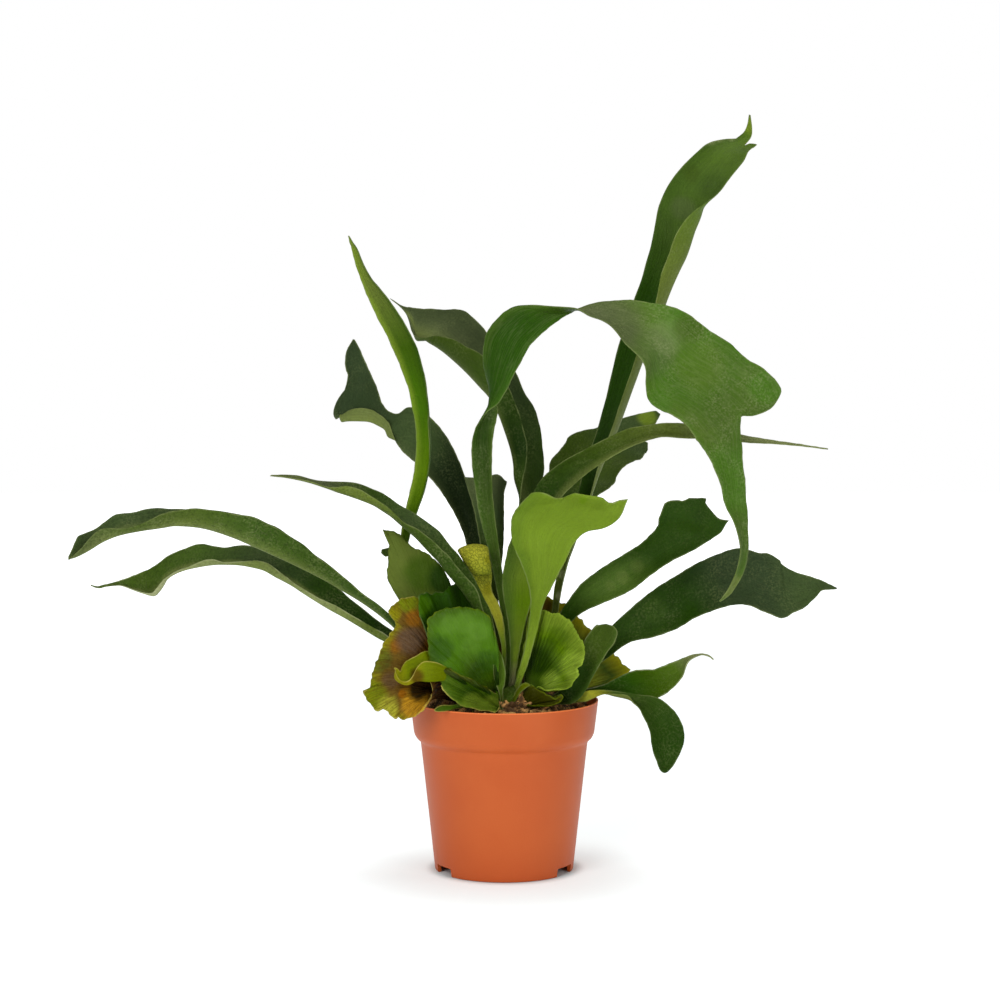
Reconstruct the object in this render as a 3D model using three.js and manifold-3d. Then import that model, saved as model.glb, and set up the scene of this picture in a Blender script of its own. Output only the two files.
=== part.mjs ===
// A staghorn fern in a nursery pot. Millimetres, +Z up, seen from -Y in the picture.
// The plant is modelled about the pot's axis, then the whole is moved so that the origin is the
// middle of its outline on the floor.
import * as THREE from "three";
import { mergeVertices } from "three/addons/utils/BufferGeometryUtils.js";
import Module from "manifold-3d";

const wasm = await Module();
wasm.setup();

// Pot
const POT_RIM_RADIUS = 60;
const POT_HEIGHT = 110.9;
const POT_WALL = 1.2;
const POT_EDGE = 0.8;
const POT_BAND_RADIUS = 57.5;
const POT_BAND_BOTTOM = 88.8;
const POT_NECK_RADIUS = 53.3;
const POT_NECK_HEIGHT = 83.5;
const POT_FOOT_RADIUS = 44.9;
const POT_FOOT_RING = 2.2;
const POT_FLOOR_HEIGHT = 7;
const POT_SIDES = 48;
const NOTCH_WIDTH = 18;
const NOTCH_HEIGHT = 5.5;
const NOTCH_DEPTH = 12;
const NOTCH_ANGLES = [-150, -30, 90];
const DRAIN_RADIUS = 4;
const DRAIN_SIDES = 16;
const DRAIN_CIRCLE = 27;
const DRAIN_COUNT = 6;

// Soil and rhizome
const SOIL_EDGE_HEIGHT = 104;
const SOIL_MOUND = 4;
const SOIL_ROUGHNESS = 0.8;
const SOIL_RINGS = 6;
const SOIL_SIDES = 36;
const RHIZOME_CENTRE = new THREE.Vector3(1, -4, 106);
const RHIZOME_HALF_SIZE = new THREE.Vector3(48, 26, 11);
const RHIZOME_FULLNESS = 2.6;
const RHIZOME_LUMP = 0.06;
const RHIZOME_SIDES = 20;
const RHIZOME_RINGS = 10;

// Leaves
const STALK_THICKNESS = 2.2;
const BLADE_THICKNESS = 1;
const SHIELD_THICKNESS = 1;
const ROOT_DEPTH = 8;
const CLEARANCE = 0.3;
const STALK_SHARE = 0.35;
const STEPS_PER_ROW = 1.5;
const COLUMNS = 4;
const SHIELD_RINGS = 3;
const SHIELD_STEPS = 2;

// How the picture looks at the plant: every leaf point below is [across, down] in a picture of
// 1000 by 1000 points, with its depth behind the pot's axis in millimetres.
const EYE = new THREE.Vector3(-3.3, -1500, 337);
const LOOK_DOWN = 0.0639;
const FOCAL = 2317;
const PICTURE_MIDDLE = 500;

// From the pot's axis to the middle of the whole outline.
const AXIS_FROM_MIDDLE = new THREE.Vector3(29.5, -5.1, 0);

// A long leaf is a list of rows from its base to its tip. A row is one edge, the other edge and the
// depth of the channel between them: across, down, depth, across, down, depth, channel. It leans
// back by so many millimetres at its tip, more and more along its length.
// The upper face looks at the viewer where the first edge is on the left of a rising leaf.
const LONG_LEAVES = {
  frond_tall_right: {
    lean: 45,
    rows: [
      [541, 696, 3, 549, 696, 1, 1],
      [547, 650, 4, 553, 650, 2, 1.5],
      [553, 610, 6, 559, 611, 3, 1.5],
      [558, 577, 9, 563.5, 578, 5, 2],
      [567, 535, 13, 576, 536, 7, 3],
      [577, 496, 16, 590, 496, 7, 5],
      [584, 468, 18, 597, 470, 6, 7],
      [600, 420, 19, 609, 426, 2, 10],
      [609, 378, 20, 622, 385, 0, 12],
      [619, 338, 21, 633, 350, -2, 14],
      [633, 302, 22, 648, 318, -3, 15],
      [647, 262, 24, 660, 280, -3, 17],
      [655, 225, 26, 671, 250, -2, 18],
      [665, 190, 28, 689, 217, 0, 18],
      [680, 168, 30, 710, 198, 2, 16],
      [700, 149, 32, 731, 170, 4, 10],
      [722, 140.5, 34, 744, 157, 7, 5],
      [737, 138, 35, 752, 149.5, 14, 2],
    ],
    lobes: [
      [
        [744, 132, 35, 751.5, 137, 29, 0.8],
        [748, 123, 36, 752, 126, 34, 0.5],
        [750, 114.5, 38, 751.5, 115, 38, 0.2],
      ],
      [[755.5, 143.5, 20, 757, 145.5, 18, 0.2]],
    ],
  },
  frond_arching: {
    rows: [
      [500, 702, -7, 508, 702, -8, 1.5],
      [506, 660, -7, 512, 660, -9, 1.5],
      [503, 625, -7, 510, 625, -9, 1.5],
      [497, 592, -7, 504, 592, -10, 2],
      [489.5, 555, -8, 500, 555, -11, 2.5],
      [480, 518, -8, 495, 518, -12, 3],
      [474, 485, -9, 492.5, 485, -14, 4],
      [471.5, 450, -13, 492, 450, -15, 4],
      [478, 425, -19, 494, 425, -14, 4],
      [487, 411, -24, 497, 411, -11, 3.5],
      [499, 403, -26, 496, 401, -9, 5],
      [511, 381, -27, 486, 378, -12, 4],
      [524, 358, -26, 483, 354, -15, 4],
      [537, 340, -25, 487, 332, -17, 4],
      [549, 329, -24, 500, 314, -19, 4],
      [560, 320, -22, 520, 304.5, -22, 3],
      [570, 313.5, -19, 548, 307, -27, 1.5],
      [579, 309, -18, 577, 309, -36, 1],
      [591, 303.5, -22, 592, 316, -42, 1.5],
      [612, 300, -27, 611, 328, -48, 3],
      [640, 302, -31, 629, 348, -53, 5],
      [664, 305.5, -34, 644, 370, -56, 6],
      [687, 315, -38, 647.5, 393, -59, 6],
      [712, 333, -42, 657, 410, -62, 6],
      [744, 355, -48, 679, 418, -66, 5],
      [776, 380, -55, 695, 441, -71, 4],
    ],
    lobes: [
      [
        [781, 391, -59, 748, 416.5, -66, 1.5],
        [776, 404, -62, 762, 412, -65, 0.6],
      ],
      [
        [741.5, 435, -66, 704, 450, -74, 3],
        [745, 470, -69, 715, 471, -78, 4],
        [747, 500, -71, 726, 500, -81, 3.5],
        [748.5, 525, -73, 735, 525, -83, 3],
        [749, 548, -75, 739, 548, -84, 2.5],
        [744, 570, -78, 736.5, 569, -85, 2],
        [734, 588, -81, 729.5, 587, -85, 1],
        [721, 601, -84, 719, 600, -85, 0.2],
      ],
    ],
  },
  frond_pale_left: {
    lean: -30,
    rows: [
      [446, 697, 2, 453, 697, 2, 1],
      [425, 655, 4, 432, 652, 3, 1.2],
      [407, 610, 6, 414, 607, 5, 1.5],
      [400, 572, 6, 407, 571, 5, 1.5],
      [401, 540, 6, 408, 540, 4, 2],
      [406, 510, 5, 418, 508, 0, 3],
      [411, 485, 4, 425, 484, -3, 4],
      [415.5, 455, 3, 429, 455, -6, 5],
      [415, 425, 2, 430, 422, -8, 5],
      [409, 385, 1, 425, 385, -9, 4],
      [398, 354, 0, 416, 354, -10, 4],
      [384, 326, -1, 401, 325, -10, 3.5],
      [370, 300, -2, 387, 303, -9, 3],
      [360, 278, -3, 373, 282, -8, 2],
      [353, 255, -4, 359, 256, -7, 1],
      [349.5, 236, -5, 351.5, 236, -6, 0.3],
    ],
  },
  frond_forked_left: {
    lean: 45,
    rows: [
      [478, 695, 14, 485, 695, 14, 1],
      [474, 640, 17, 482, 640, 16, 1.5],
      [470, 590, 20, 479, 590, 18, 2],
      [467, 545, 23, 479, 545, 20, 3],
      [459, 522, 25, 476, 518, 22, 3.5],
      [449, 503, 27, 470, 494, 24, 4],
      [436, 485, 30, 459, 464, 26, 4],
      [419, 466, 33, 445, 436, 28, 4],
      [402, 450, 36, 425, 410, 30, 4],
      [389, 434, 39, 402, 411, 33, 4],
      [372, 424, 41, 387, 407, 36, 3],
      [354, 421, 43, 379, 392, 38, 3],
      [336, 419, 46, 370, 373, 39, 3],
    ],
    lobes: [
      [[335, 408, 47, 342, 396, 45, 0.6]],
      [
        [345, 369, 42, 366, 362, 39, 2],
        [346, 355, 44, 361, 350, 42, 1.5],
        [352, 339, 46, 354, 339, 46, 0.3],
      ],
    ],
  },
  frond_front: {
    lean: -25,
    rows: [
      [507, 704, -14, 514, 704, -14, 1],
      [513, 686, -17, 520, 686, -17, 1],
      [517, 670, -19, 525, 668, -19, 1],
      [522, 650, -21, 530, 650, -21, 1],
      [527, 625, -24, 537, 625, -24, 1.5],
      [530.5, 602, -27, 542.5, 604, -27, 2],
      [528, 585, -29, 552, 585, -29, 3],
      [521, 562, -31, 565, 562, -32, 4],
      [512, 540, -33, 578, 541, -35, 5],
      [510.5, 522, -34, 600, 528, -39, 5],
      [518, 507, -35, 617, 517, -42, 5],
      [531, 492.5, -37, 627, 498.5, -46, 3],
    ],
  },
  frond_front_left: {
    rows: [
      [505, 704, -11, 511, 704, -11, 1],
      [509, 680, -12, 515, 680, -13, 1],
      [510, 650, -13, 517, 650, -15, 1.2],
      [508, 625, -13, 521, 625, -17, 2],
      [504, 600, -14, 527, 600, -20, 3],
      [502, 580, -15, 534, 580, -21, 3],
      [505, 562, -17, 545, 562, -23, 3],
      [509, 545, -19, 549, 545, -25, 3],
      [515, 532, -22, 545, 532, -26, 2],
      [523, 520, -24, 537, 522, -27, 1],
    ],
  },
  frond_back_dark: {
    lean: 40,
    rows: [
      [500, 696, 4, 507, 696, 4, 1],
      [503, 650, 4, 511, 650, 6, 1.5],
      [508, 600, 4, 517, 600, 9, 2],
      [513, 550, 5, 526, 550, 12, 3],
      [518, 510, 5, 534, 510, 14, 4],
      [522, 480, 4, 541, 480, 16, 7],
      [528, 455, 2, 543, 450, 18, 14],
      [525, 430, 2, 540, 428, 19, 15],
      [518, 408, 2, 533, 405, 21, 14],
      [507, 388, 2, 522, 386, 24, 14],
      [493, 369, 3, 511, 362, 28, 15],
      [476, 350, 5, 494, 338, 33, 17],
      [459, 340, 8, 477, 320, 37, 17],
      [440, 334, 13, 457, 309, 41, 14],
      [423, 336, 20, 430, 307.5, 44, 8],
      [411, 322, 30, 413, 306, 42, 3],
      [388, 297.5, 46, 389, 296, 47, 0.2],
    ],
  },
  frond_back_right: {
    lean: 45,
    rows: [
      [527, 694, 14, 534, 694, 14, 1],
      [533, 640, 20, 541, 640, 18, 1.5],
      [538, 590, 21, 547, 590, 19, 2],
      [541, 545, 25, 554, 547, 23, 3],
      [545, 505, 29, 572, 515, 28, 4],
      [548, 475, 33, 596, 495, 32, 5],
      [560, 450, 37, 612, 484, 35, 5],
      [583, 430, 41, 628, 466, 38, 4],
      [610, 423, 44, 644, 456, 41, 3],
    ],
    lobes: [
      [
        [634, 413, 47, 650, 430, 44, 1.5],
        [656, 411, 50, 660, 416, 49, 0.4],
      ],
      [
        [642, 438, 44, 648, 450, 42, 0.8],
        [646, 441, 45, 648.5, 446, 44, 0.3],
      ],
    ],
  },
  frond_narrow_right: {
    lean: -25,
    rows: [
      [514, 698, -1, 520, 698, -1, 1],
      [518, 650, 0, 525, 650, -1, 1],
      [521, 600, 0, 529, 600, -2, 1.2],
      [524, 550, 0, 535, 550, -3, 2],
      [529, 510, 0, 549, 515, -5, 3],
      [540, 482, -1, 568, 486, -8, 4],
      [558, 464, -3, 592, 467, -11, 4],
      [581, 454, -6, 617, 453, -15, 4],
      [606, 442, -9, 640, 445, -18, 3.5],
      [633, 430, -12, 662, 438.5, -21, 3],
      [667, 422, -15, 690, 438.5, -23, 2.5],
      [702, 424, -18, 715, 438, -25, 2],
      [738, 433, -21, 741, 441, -26, 1.2],
      [773, 440.5, -24, 774, 444, -27, 0.5],
      [828, 448.8, -28, 828, 450.6, -28, 0.2],
    ],
  },
  frond_right_upper: {
    lean: -30,
    rows: [
      [523, 692, -5, 530, 695, -6, 1],
      [538, 655, -4, 546, 660, -7, 1.2],
      [552, 625, -5, 563, 632, -8, 2],
      [566, 604, -6, 580, 613, -10, 3],
      [582, 586, -8, 604, 601, -13, 4],
      [601, 570, -9, 632, 589, -16, 5],
      [626, 555, -11, 655, 570, -19, 5],
      [645, 541, -13, 680, 556, -21, 5],
      [657, 528, -15, 703, 545, -23, 4],
      [660, 515, -17, 717, 536, -25, 3],
      [667, 503, -19, 727, 524, -26, 2],
    ],
    lobes: [
      [[690, 498.5, -21, 706.5, 501, -23, 0.5]],
      [[717, 515, -23, 727, 519, -26, 0.4]],
    ],
  },
  frond_right_lower: {
    lean: 45,
    rows: [
      [557, 690, 0, 563, 696, -2, 1],
      [578, 665, -1, 586, 673, -4, 1.5],
      [598, 642, -2, 609, 656, -6, 2.5],
      [614, 626, -3, 628, 641, -9, 3],
      [634, 607, -5, 655, 636, -13, 4],
      [660, 586, -7, 685, 622, -17, 5],
      [690, 569, -9, 715, 610, -20, 5],
      [718, 556, -12, 742, 604, -22, 5],
      [745, 549, -15, 764, 610, -24, 4],
      [768, 553.5, -18, 784, 616, -26, 3],
      [784, 566, -21, 801, 610, -28, 2.5],
      [806, 576.5, -24, 813, 600, -29, 1.5],
      [823, 583, -27, 822, 590, -29, 0.6],
      [836, 587.5, -28, 836, 589, -28, 0.2],
    ],
  },
  frond_short_dark: {
    rows: [
      [546, 700, -20, 553, 705, -21, 1],
      [557, 692, -27, 571, 704, -31, 2],
      [568, 678, -29, 583, 694, -34, 3],
      [576, 660, -30, 594, 674, -34, 4],
      [582, 645, -30, 606, 655, -34, 4],
      [588, 634, -30, 613, 642, -33, 3],
      [594, 628, -30, 616, 634, -32, 2],
      [602, 624.5, -30, 612, 626, -31, 0.6],
    ],
  },
  frond_low_right: {
    lean: -25,
    rows: [
      [558, 692, -14, 563, 698, -14, 1],
      [576, 688, -18, 582, 695, -19, 1.5],
      [594, 684, -22, 600, 692, -25, 2.5],
      [610, 678, -26, 618, 691, -30, 3],
      [626, 672, -29, 638, 695, -35, 4],
      [644, 669, -32, 658, 697, -39, 4],
      [662, 666.5, -36, 674, 686, -41, 3.5],
      [680, 660, -40, 684, 671, -44, 2.5],
      [692, 656, -43, 692, 660, -46, 1],
      [713, 658, -48, 713, 660, -48, 0.2],
    ],
  },
  frond_hanging_right: {
    rows: [
      [556, 699, -18, 560, 705, -18, 1],
      [568, 696, -24, 573, 703, -25, 1.2],
      [582, 692, -29, 587, 701, -31, 1.5],
      [596, 689, -35, 602, 697, -38, 2],
      [612, 690, -40, 615, 696.5, -45, 2.5],
      [632, 692, -44, 631, 698, -51, 3],
      [651, 696, -47, 638, 705, -56, 4],
      [667, 706, -50, 643, 715, -59, 4],
      [680, 721, -52, 648, 730, -62, 4],
      [685, 736, -55, 651, 742, -66, 3.5],
      [681, 750, -57, 655, 755, -66, 3],
      [675, 762, -60, 658, 765, -66, 2],
      [668, 771.5, -63, 662, 772, -65, 0.6],
    ],
  },
  frond_left_upper: {
    lean: -55,
    rows: [
      [462, 690, -20, 466, 696, -16, 1],
      [435, 662, -23, 440, 668, -17, 2],
      [412, 638, -23, 416, 640, -15, 3],
      [388, 613, -26, 393, 620, -16, 4.5],
      [360, 591, -29, 366, 598, -17, 7],
      [330, 566, -31, 336, 572, -16, 10],
      [300, 543, -33, 304, 547, -15, 13],
      [270, 525, -34, 273, 527, -14, 15],
      [240, 515, -35, 241, 516, -13, 14],
      [208, 510.5, -35, 207, 510.5, -13, 11],
      [178, 510, -34, 174, 510, -14, 9],
      [152, 519, -33, 145, 509, -15, 6],
      [126, 528, -31, 116, 515, -17, 4],
      [102, 530, -29, 96, 526, -19, 4],
      [86, 546, -27, 81, 536, -22, 2],
      [69, 560.5, -25, 68, 559, -24, 0.3],
    ],
  },
  frond_left_lower: {
    lean: 45,
    rows: [
      [472, 699, -11, 475, 692, -8, 1],
      [442, 682, -14, 448, 673, -10, 1.5],
      [410, 655, -15, 417, 643, -9, 2],
      [384, 637, -13, 390, 631, -4, 3],
      [358, 620, -12, 362, 609, 0, 4],
      [330, 602, -11, 338, 588, 2, 5],
      [300, 584, -10, 308, 568, 4, 6],
      [275, 566, -9, 280, 551, 6, 6],
      [245, 561, -8, 248, 545, 7, 4],
      [215, 560, -7, 214, 545, 8, 3],
      [190, 565.5, -6, 187, 548, 8, 2.5],
      [168, 577, -5, 163, 561, 7, 2],
      [154, 592, -5, 147, 570, 6, 1.5],
      [139, 591, -4, 133, 575, 4, 1],
      [123, 586, -2, 118, 580, 2, 0.5],
      [92, 587, 0, 92, 585, 1, 0.2],
    ],
  },
  frond_left_middle: {
    lean: -40,
    rows: [
      [497, 690, -20, 503, 690, -18, 1],
      [494, 650, -26, 502, 655, -21, 1.5],
      [482, 618, -31, 493, 622, -22, 3],
      [466, 592, -34, 480, 596, -23, 4],
      [450, 566, -36, 466, 570, -23, 4.5],
      [430, 543, -36, 449, 542, -22, 5],
      [407, 525, -36, 428, 521, -20, 5],
      [380, 504, -35, 400, 506, -18, 5],
      [352, 491, -33, 370, 489, -17, 4],
      [325, 484, -31, 338, 483, -18, 3],
      [300, 479.5, -28, 308, 478.5, -20, 1.5],
      [270, 476, -24, 271, 475, -23, 0.2],
    ],
  },
  frond_small_left: {
    rows: [
      [454, 695, 7, 458, 695, 7, 0.6],
      [438, 660, 1, 442, 658, 1, 0.8],
      [415, 610, -2, 420, 607, -2, 0.8],
      [398, 572, -3, 404, 568, -3, 1],
      [388, 559, -3, 393, 549, -3, 1],
      [382, 556, -3, 383, 549, -3, 0.3],
    ],
  },
  frond_back_centre: {
    rows: [
      [492, 694, 8, 498, 694, 8, 1],
      [489, 640, 9, 497, 640, 9, 1.5],
      [486, 590, 10, 499, 590, 10, 2],
      [481, 550, 11, 501, 550, 10, 3],
      [476, 520, 12, 502.5, 520, 10, 3],
      [470, 498, 12, 504, 498, 10, 3],
      [465, 478, 12, 507, 481, 10, 2],
    ],
  },
  shield_curl: {
    rows: [
      [484, 690, -16, 481, 684, -15, 0.6],
      [473, 682, -30, 470, 676, -29, 1],
      [459, 673, -39, 456, 667, -37, 1.5],
      [446, 672, -46, 445, 660, -43, 3],
      [434, 680, -53, 434, 656, -46, 5],
      [418, 684, -60, 420, 652, -54, 6],
      [404, 682, -63, 408, 660, -60, 4],
      [397, 677, -64, 401, 667, -62, 1.5],
    ],
  },
  young_frond: {
    rows: [
      [500, 680, -14, 504, 680, -14, 0.8],
      [502, 650, -15, 507, 650, -14, 1],
      [493, 615, -15, 503, 617, -14, 1.5],
      [484, 595, -16, 497, 592, -13, 2],
      [474, 578, -18, 494, 576, -13, 3],
      [463, 562, -18, 491, 562, -13, 3],
      [458, 552, -17, 487, 548, -13, 2],
    ],
  },
};

// A round leaf is a fan from its heart to a margin of points, all as [across, down, depth]. Between
// them it rises towards the viewer and lifts upwards, in millimetres.
const ROUND_LEAVES = {
  shield_upper_left: {
    heart: [462, 692, -1],
    rise: 4,
    lift: 0,
    margin: [
      [428, 645, -4],
      [401, 604, -9],
      [389, 574, -10],
      [391, 542, -8],
      [383, 529, -6],
      [403, 537, -8],
      [422, 550, -10],
      [440, 565, -11],
      [453, 590, -11],
      [466, 630, -8],
    ],
  },
  shield_drape_left: {
    heart: [458, 697, -23],
    rise: 8,
    lift: 9,
    margin: [
      [440, 625, -30],
      [420, 597, -33],
      [400, 600, -34],
      [388, 611, -36],
      [387, 632, -38],
      [381, 653, -41],
      [372, 680, -45],
      [363, 691, -48],
      [371, 705, -50],
      [378, 711, -52],
      [386, 708, -53],
      [395, 718, -55],
      [407, 719, -56],
      [418, 716, -57],
      [426, 707, -57],
      [430, 694, -54],
      [428, 682, -50],
    ],
  },
  shield_front_left: {
    heart: [499, 697, -20],
    rise: 5,
    lift: 0,
    margin: [
      [500, 690, -24],
      [498, 665, -32],
      [495, 642, -38],
      [490, 622, -42],
      [478, 611, -45],
      [460, 607, -47],
      [440, 610, -48],
      [423, 617, -49],
      [429, 633, -51],
      [427, 650, -52],
      [433, 664, -52],
      [450, 668, -49],
      [464, 678, -46],
      [480, 687, -39],
      [491, 695, -31],
    ],
  },
  shield_middle_left: {
    heart: [476, 692, -16],
    rise: 4,
    lift: 0,
    margin: [
      [424, 640, -30],
      [415, 612, -29],
      [418, 597, -28],
      [429, 590, -28],
      [441, 592, -28],
      [452, 586, -28],
      [462, 600, -29],
      [470, 625, -28],
    ],
  },
  shield_front_right: {
    heart: [526, 690, -14],
    rise: -5,
    lift: 0,
    margin: [
      [523, 655, -12],
      [527, 630, -15],
      [535, 612, -20],
      [547, 611, -27],
      [558, 613, -33],
      [570, 621, -35],
      [580, 637, -37],
      [584, 652, -39],
      [583, 664, -40],
      [576, 673, -41],
      [572, 684, -42],
      [558, 690, -41],
      [545, 688, -37],
      [534, 686, -29],
    ],
  },
  shield_low_left: {
    heart: [500, 704, -18],
    rise: 2,
    lift: 0,
    margin: [
      [487, 700, -20],
      [468, 688, -29],
      [450, 675, -44],
      [443, 682, -50],
      [448, 694, -51],
      [459, 703, -50],
      [472, 708, -47],
      [486, 711, -42],
      [495, 710, -36],
    ],
  },
  shield_low_right: {
    heart: [521, 700, -17],
    rise: 2,
    lift: 0,
    margin: [
      [529, 691, -26],
      [539, 692, -32],
      [549, 694, -34],
      [555, 699, -35],
      [549, 706, -36],
      [538, 706, -35],
      [529, 704, -30],
    ],
  },
  shield_back_right: {
    heart: [540, 694, 7],
    rise: -1,
    lift: 0,
    margin: [
      [530, 640, 10],
      [533, 612, 11],
      [543, 597, 12],
      [556, 599, 12],
      [568, 605, 12],
      [579, 614, 11],
      [590, 627, 11],
      [600, 624, 11],
      [608, 640, 11],
      [613, 652, 11],
      [624, 660, 12],
      [630, 669, 12],
      [618, 680, 12],
      [598, 687, 10],
    ],
  },
  shield_back_left: {
    heart: [478, 694, 16],
    rise: -6,
    lift: 6,
    margin: [
      [462, 688, 44],
      [432, 678, 50],
      [415, 660, 47],
      [412, 638, 41],
      [425, 615, 35],
      [447, 602, 32],
      [465, 606, 30],
      [478, 622, 28],
      [490, 650, 24],
    ],
  },
  shield_back_middle: {
    heart: [508, 694, 18],
    rise: -6,
    lift: 6,
    margin: [
      [492, 660, 26],
      [488, 632, 33],
      [500, 612, 38],
      [520, 605, 42],
      [542, 612, 46],
      [560, 630, 50],
      [572, 652, 53],
      [568, 672, 54],
      [550, 684, 52],
      [528, 690, 44],
    ],
  },
};

const COLOURS = {
  pot: 0xc9673b,
  soil: 0x3a2a20,
  rhizome: 0x5a4a34,
  shield: 0x6f8f2a,
  shield_drape_left: 0x8a7a32,
  shield_back_right: 0x7a6230,
  shield_back_left: 0x7a6230,
  frond: 0x2f4f28,
  frond_front: 0x7a9230,
  frond_front_left: 0x5f7f30,
  frond_pale_left: 0x557a1c,
  young_frond: 0xa5a52d,
};

// Geometry helpers

function inView(across, down, depth) {
  const right = (across - PICTURE_MIDDLE) / FOCAL;
  const up = (PICTURE_MIDDLE - down) / FOCAL;
  const ray = new THREE.Vector3(
    right,
    Math.cos(LOOK_DOWN) + up * Math.sin(LOOK_DOWN),
    -Math.sin(LOOK_DOWN) + up * Math.cos(LOOK_DOWN),
  );
  return ray.multiplyScalar((depth - EYE.y) / ray.y).add(EYE);
}

// The value at parameter t, from 0 to the last index, on a smooth curve through the values.
function smooth(values, t) {
  const last = values.length - 1;
  const i = Math.min(Math.floor(t), last - 1);
  const f = t - i;
  const b = values[i];
  const c = values[i + 1];
  const a = i > 0 ? values[i - 1] : 2 * b - c;
  const d = i + 2 <= last ? values[i + 2] : 2 * c - b;
  const curve = (2 * a - 5 * b + 4 * c - d) * f ** 2 + (3 * b - a - 3 * c + d) * f ** 3;
  return 0.5 * (2 * b + (c - a) * f + curve);
}

function smoothPoint(points, t) {
  const along = (key) => smooth(points.map((p) => p[key]), t);
  return new THREE.Vector3(along("x"), along("y"), along("z"));
}

// The grid of points of one ribbon: its rows are crossed by parabolas from edge to edge.
function ribbonGrid(first, second, channels, columns) {
  const spans = first.length - 1;
  const steps = Math.ceil(spans * STEPS_PER_ROW);
  const at = (i) => {
    const t = (i * spans) / steps;
    return { a: smoothPoint(first, t), b: smoothPoint(second, t), channel: smooth(channels, t) };
  };
  const rows = Array.from({ length: steps + 1 }, (_, i) => at(i));
  const middle = rows.map((row) => row.a.clone().lerp(row.b, 0.5));
  return rows.map((row, i) => {
    const ahead = middle[Math.min(i + 1, steps)];
    const behind = middle[Math.max(i - 1, 0)];
    const along = ahead.clone().sub(behind);
    const upper = row.b.clone().sub(row.a).cross(along).normalize();
    return Array.from({ length: columns + 1 }, (_, j) => {
      const s = (2 * j) / columns - 1;
      return row.a.clone().lerp(row.b, j / columns).addScaledVector(upper, -row.channel * (1 - s * s));
    });
  });
}

function readRows(rows, leanAt) {
  return {
    first: rows.map((r, i) => inView(r[0], r[1], r[2] + leanAt(i))),
    second: rows.map((r, i) => inView(r[3], r[4], r[5] + leanAt(i))),
    channels: rows.map((r) => r[6]),
  };
}

// A lobe starts exactly on its half of the leaf's last row.
function lobeGrid(half, lobeRows, lean) {
  const { first, second, channels } = readRows(lobeRows, () => lean);
  const columns = half.length - 1;
  const grid = ribbonGrid(
    [half[0], ...first],
    [half[columns], ...second],
    [channels[0], ...channels],
    columns,
  );
  const offsets = half.map((point, j) => point.clone().sub(grid[0][j]));
  return grid.map((row, i) => {
    const keep = (1 - i / (grid.length - 1)) ** 2;
    return row.map((point, j) => point.addScaledVector(offsets[j], keep));
  });
}

// A sheet collects grids of points into one surface of triangles, with shared points welded.
class Sheet {
  points = [];
  shares = [];
  triangles = [];
  index = new Map();

  place(point, share) {
    const key = [point.x, point.y, point.z].map((n) => n.toFixed(3)).join();
    if (!this.index.has(key)) {
      this.index.set(key, this.points.length);
      this.points.push(point);
      this.shares.push(share);
    }
    return this.index.get(key);
  }

  triangle(a, b, c) {
    if (a !== b && b !== c && c !== a) this.triangles.push([a, b, c]);
  }

  grid(rows, shareOf) {
    const at = rows.map((row, i) => row.map((point) => this.place(point, shareOf(i))));
    for (let i = 0; i + 1 < rows.length; i++) {
      for (let j = 0; j + 1 < rows[i].length; j++) {
        this.triangle(at[i][j], at[i][j + 1], at[i + 1][j + 1]);
        this.triangle(at[i][j], at[i + 1][j + 1], at[i + 1][j]);
      }
    }
  }

  // Both faces have the same triangles, and a rim closes the boundary between them.
  thicken(thicknessOf) {
    const normals = this.points.map(() => new THREE.Vector3());
    for (const [a, b, c] of this.triangles) {
      const ab = this.points[b].clone().sub(this.points[a]);
      const ac = this.points[c].clone().sub(this.points[a]);
      const normal = ab.cross(ac);
      for (const k of [a, b, c]) normals[k].add(normal);
    }
    const count = this.points.length;
    const positions = [];
    for (const side of [0.5, -0.5]) {
      this.points.forEach((point, k) => {
        const offset = normals[k].clone().setLength(side * thicknessOf(this.shares[k]));
        positions.push(...point.clone().add(offset).toArray());
      });
    }
    const triVerts = [];
    const directed = new Set();
    for (const [a, b, c] of this.triangles) {
      triVerts.push(a, b, c, count + a, count + c, count + b);
      for (const [p, q] of [[a, b], [b, c], [c, a]]) directed.add(p + "," + q);
    }
    for (const edge of directed) {
      const [p, q] = edge.split(",").map(Number);
      if (!directed.has(q + "," + p)) triVerts.push(q, p, count + p, q, count + p, count + q);
    }
    return solidFrom(new Float32Array(positions), new Uint32Array(triVerts));
  }
}

// Solids

function solidFrom(vertProperties, triVerts) {
  return new wasm.Manifold(new wasm.Mesh({ numProp: 3, vertProperties, triVerts }));
}

function solidOf(geometry) {
  const bare = geometry.clone();
  bare.deleteAttribute("normal");
  bare.deleteAttribute("uv");
  const merged = mergeVertices(bare, 1e-4);
  return solidFrom(merged.attributes.position.array, new Uint32Array(merged.index.array));
}

function geometryOf(solid) {
  const mesh = solid.getMesh();
  const positions = new Float32Array(mesh.numVert * 3);
  for (let i = 0; i < mesh.numVert; i++) {
    positions.set(mesh.vertProperties.subarray(i * mesh.numProp, i * mesh.numProp + 3), i * 3);
  }
  const geometry = new THREE.BufferGeometry();
  geometry.setAttribute("position", new THREE.BufferAttribute(positions, 3));
  geometry.setIndex(new THREE.BufferAttribute(new Uint32Array(mesh.triVerts), 1));
  geometry.computeVertexNormals();
  return geometry;
}

function turned(points, segments) {
  const profile = points.map(([radius, height]) => new THREE.Vector2(radius, height));
  return new THREE.LatheGeometry(profile, segments).rotateX(Math.PI / 2);
}

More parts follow.
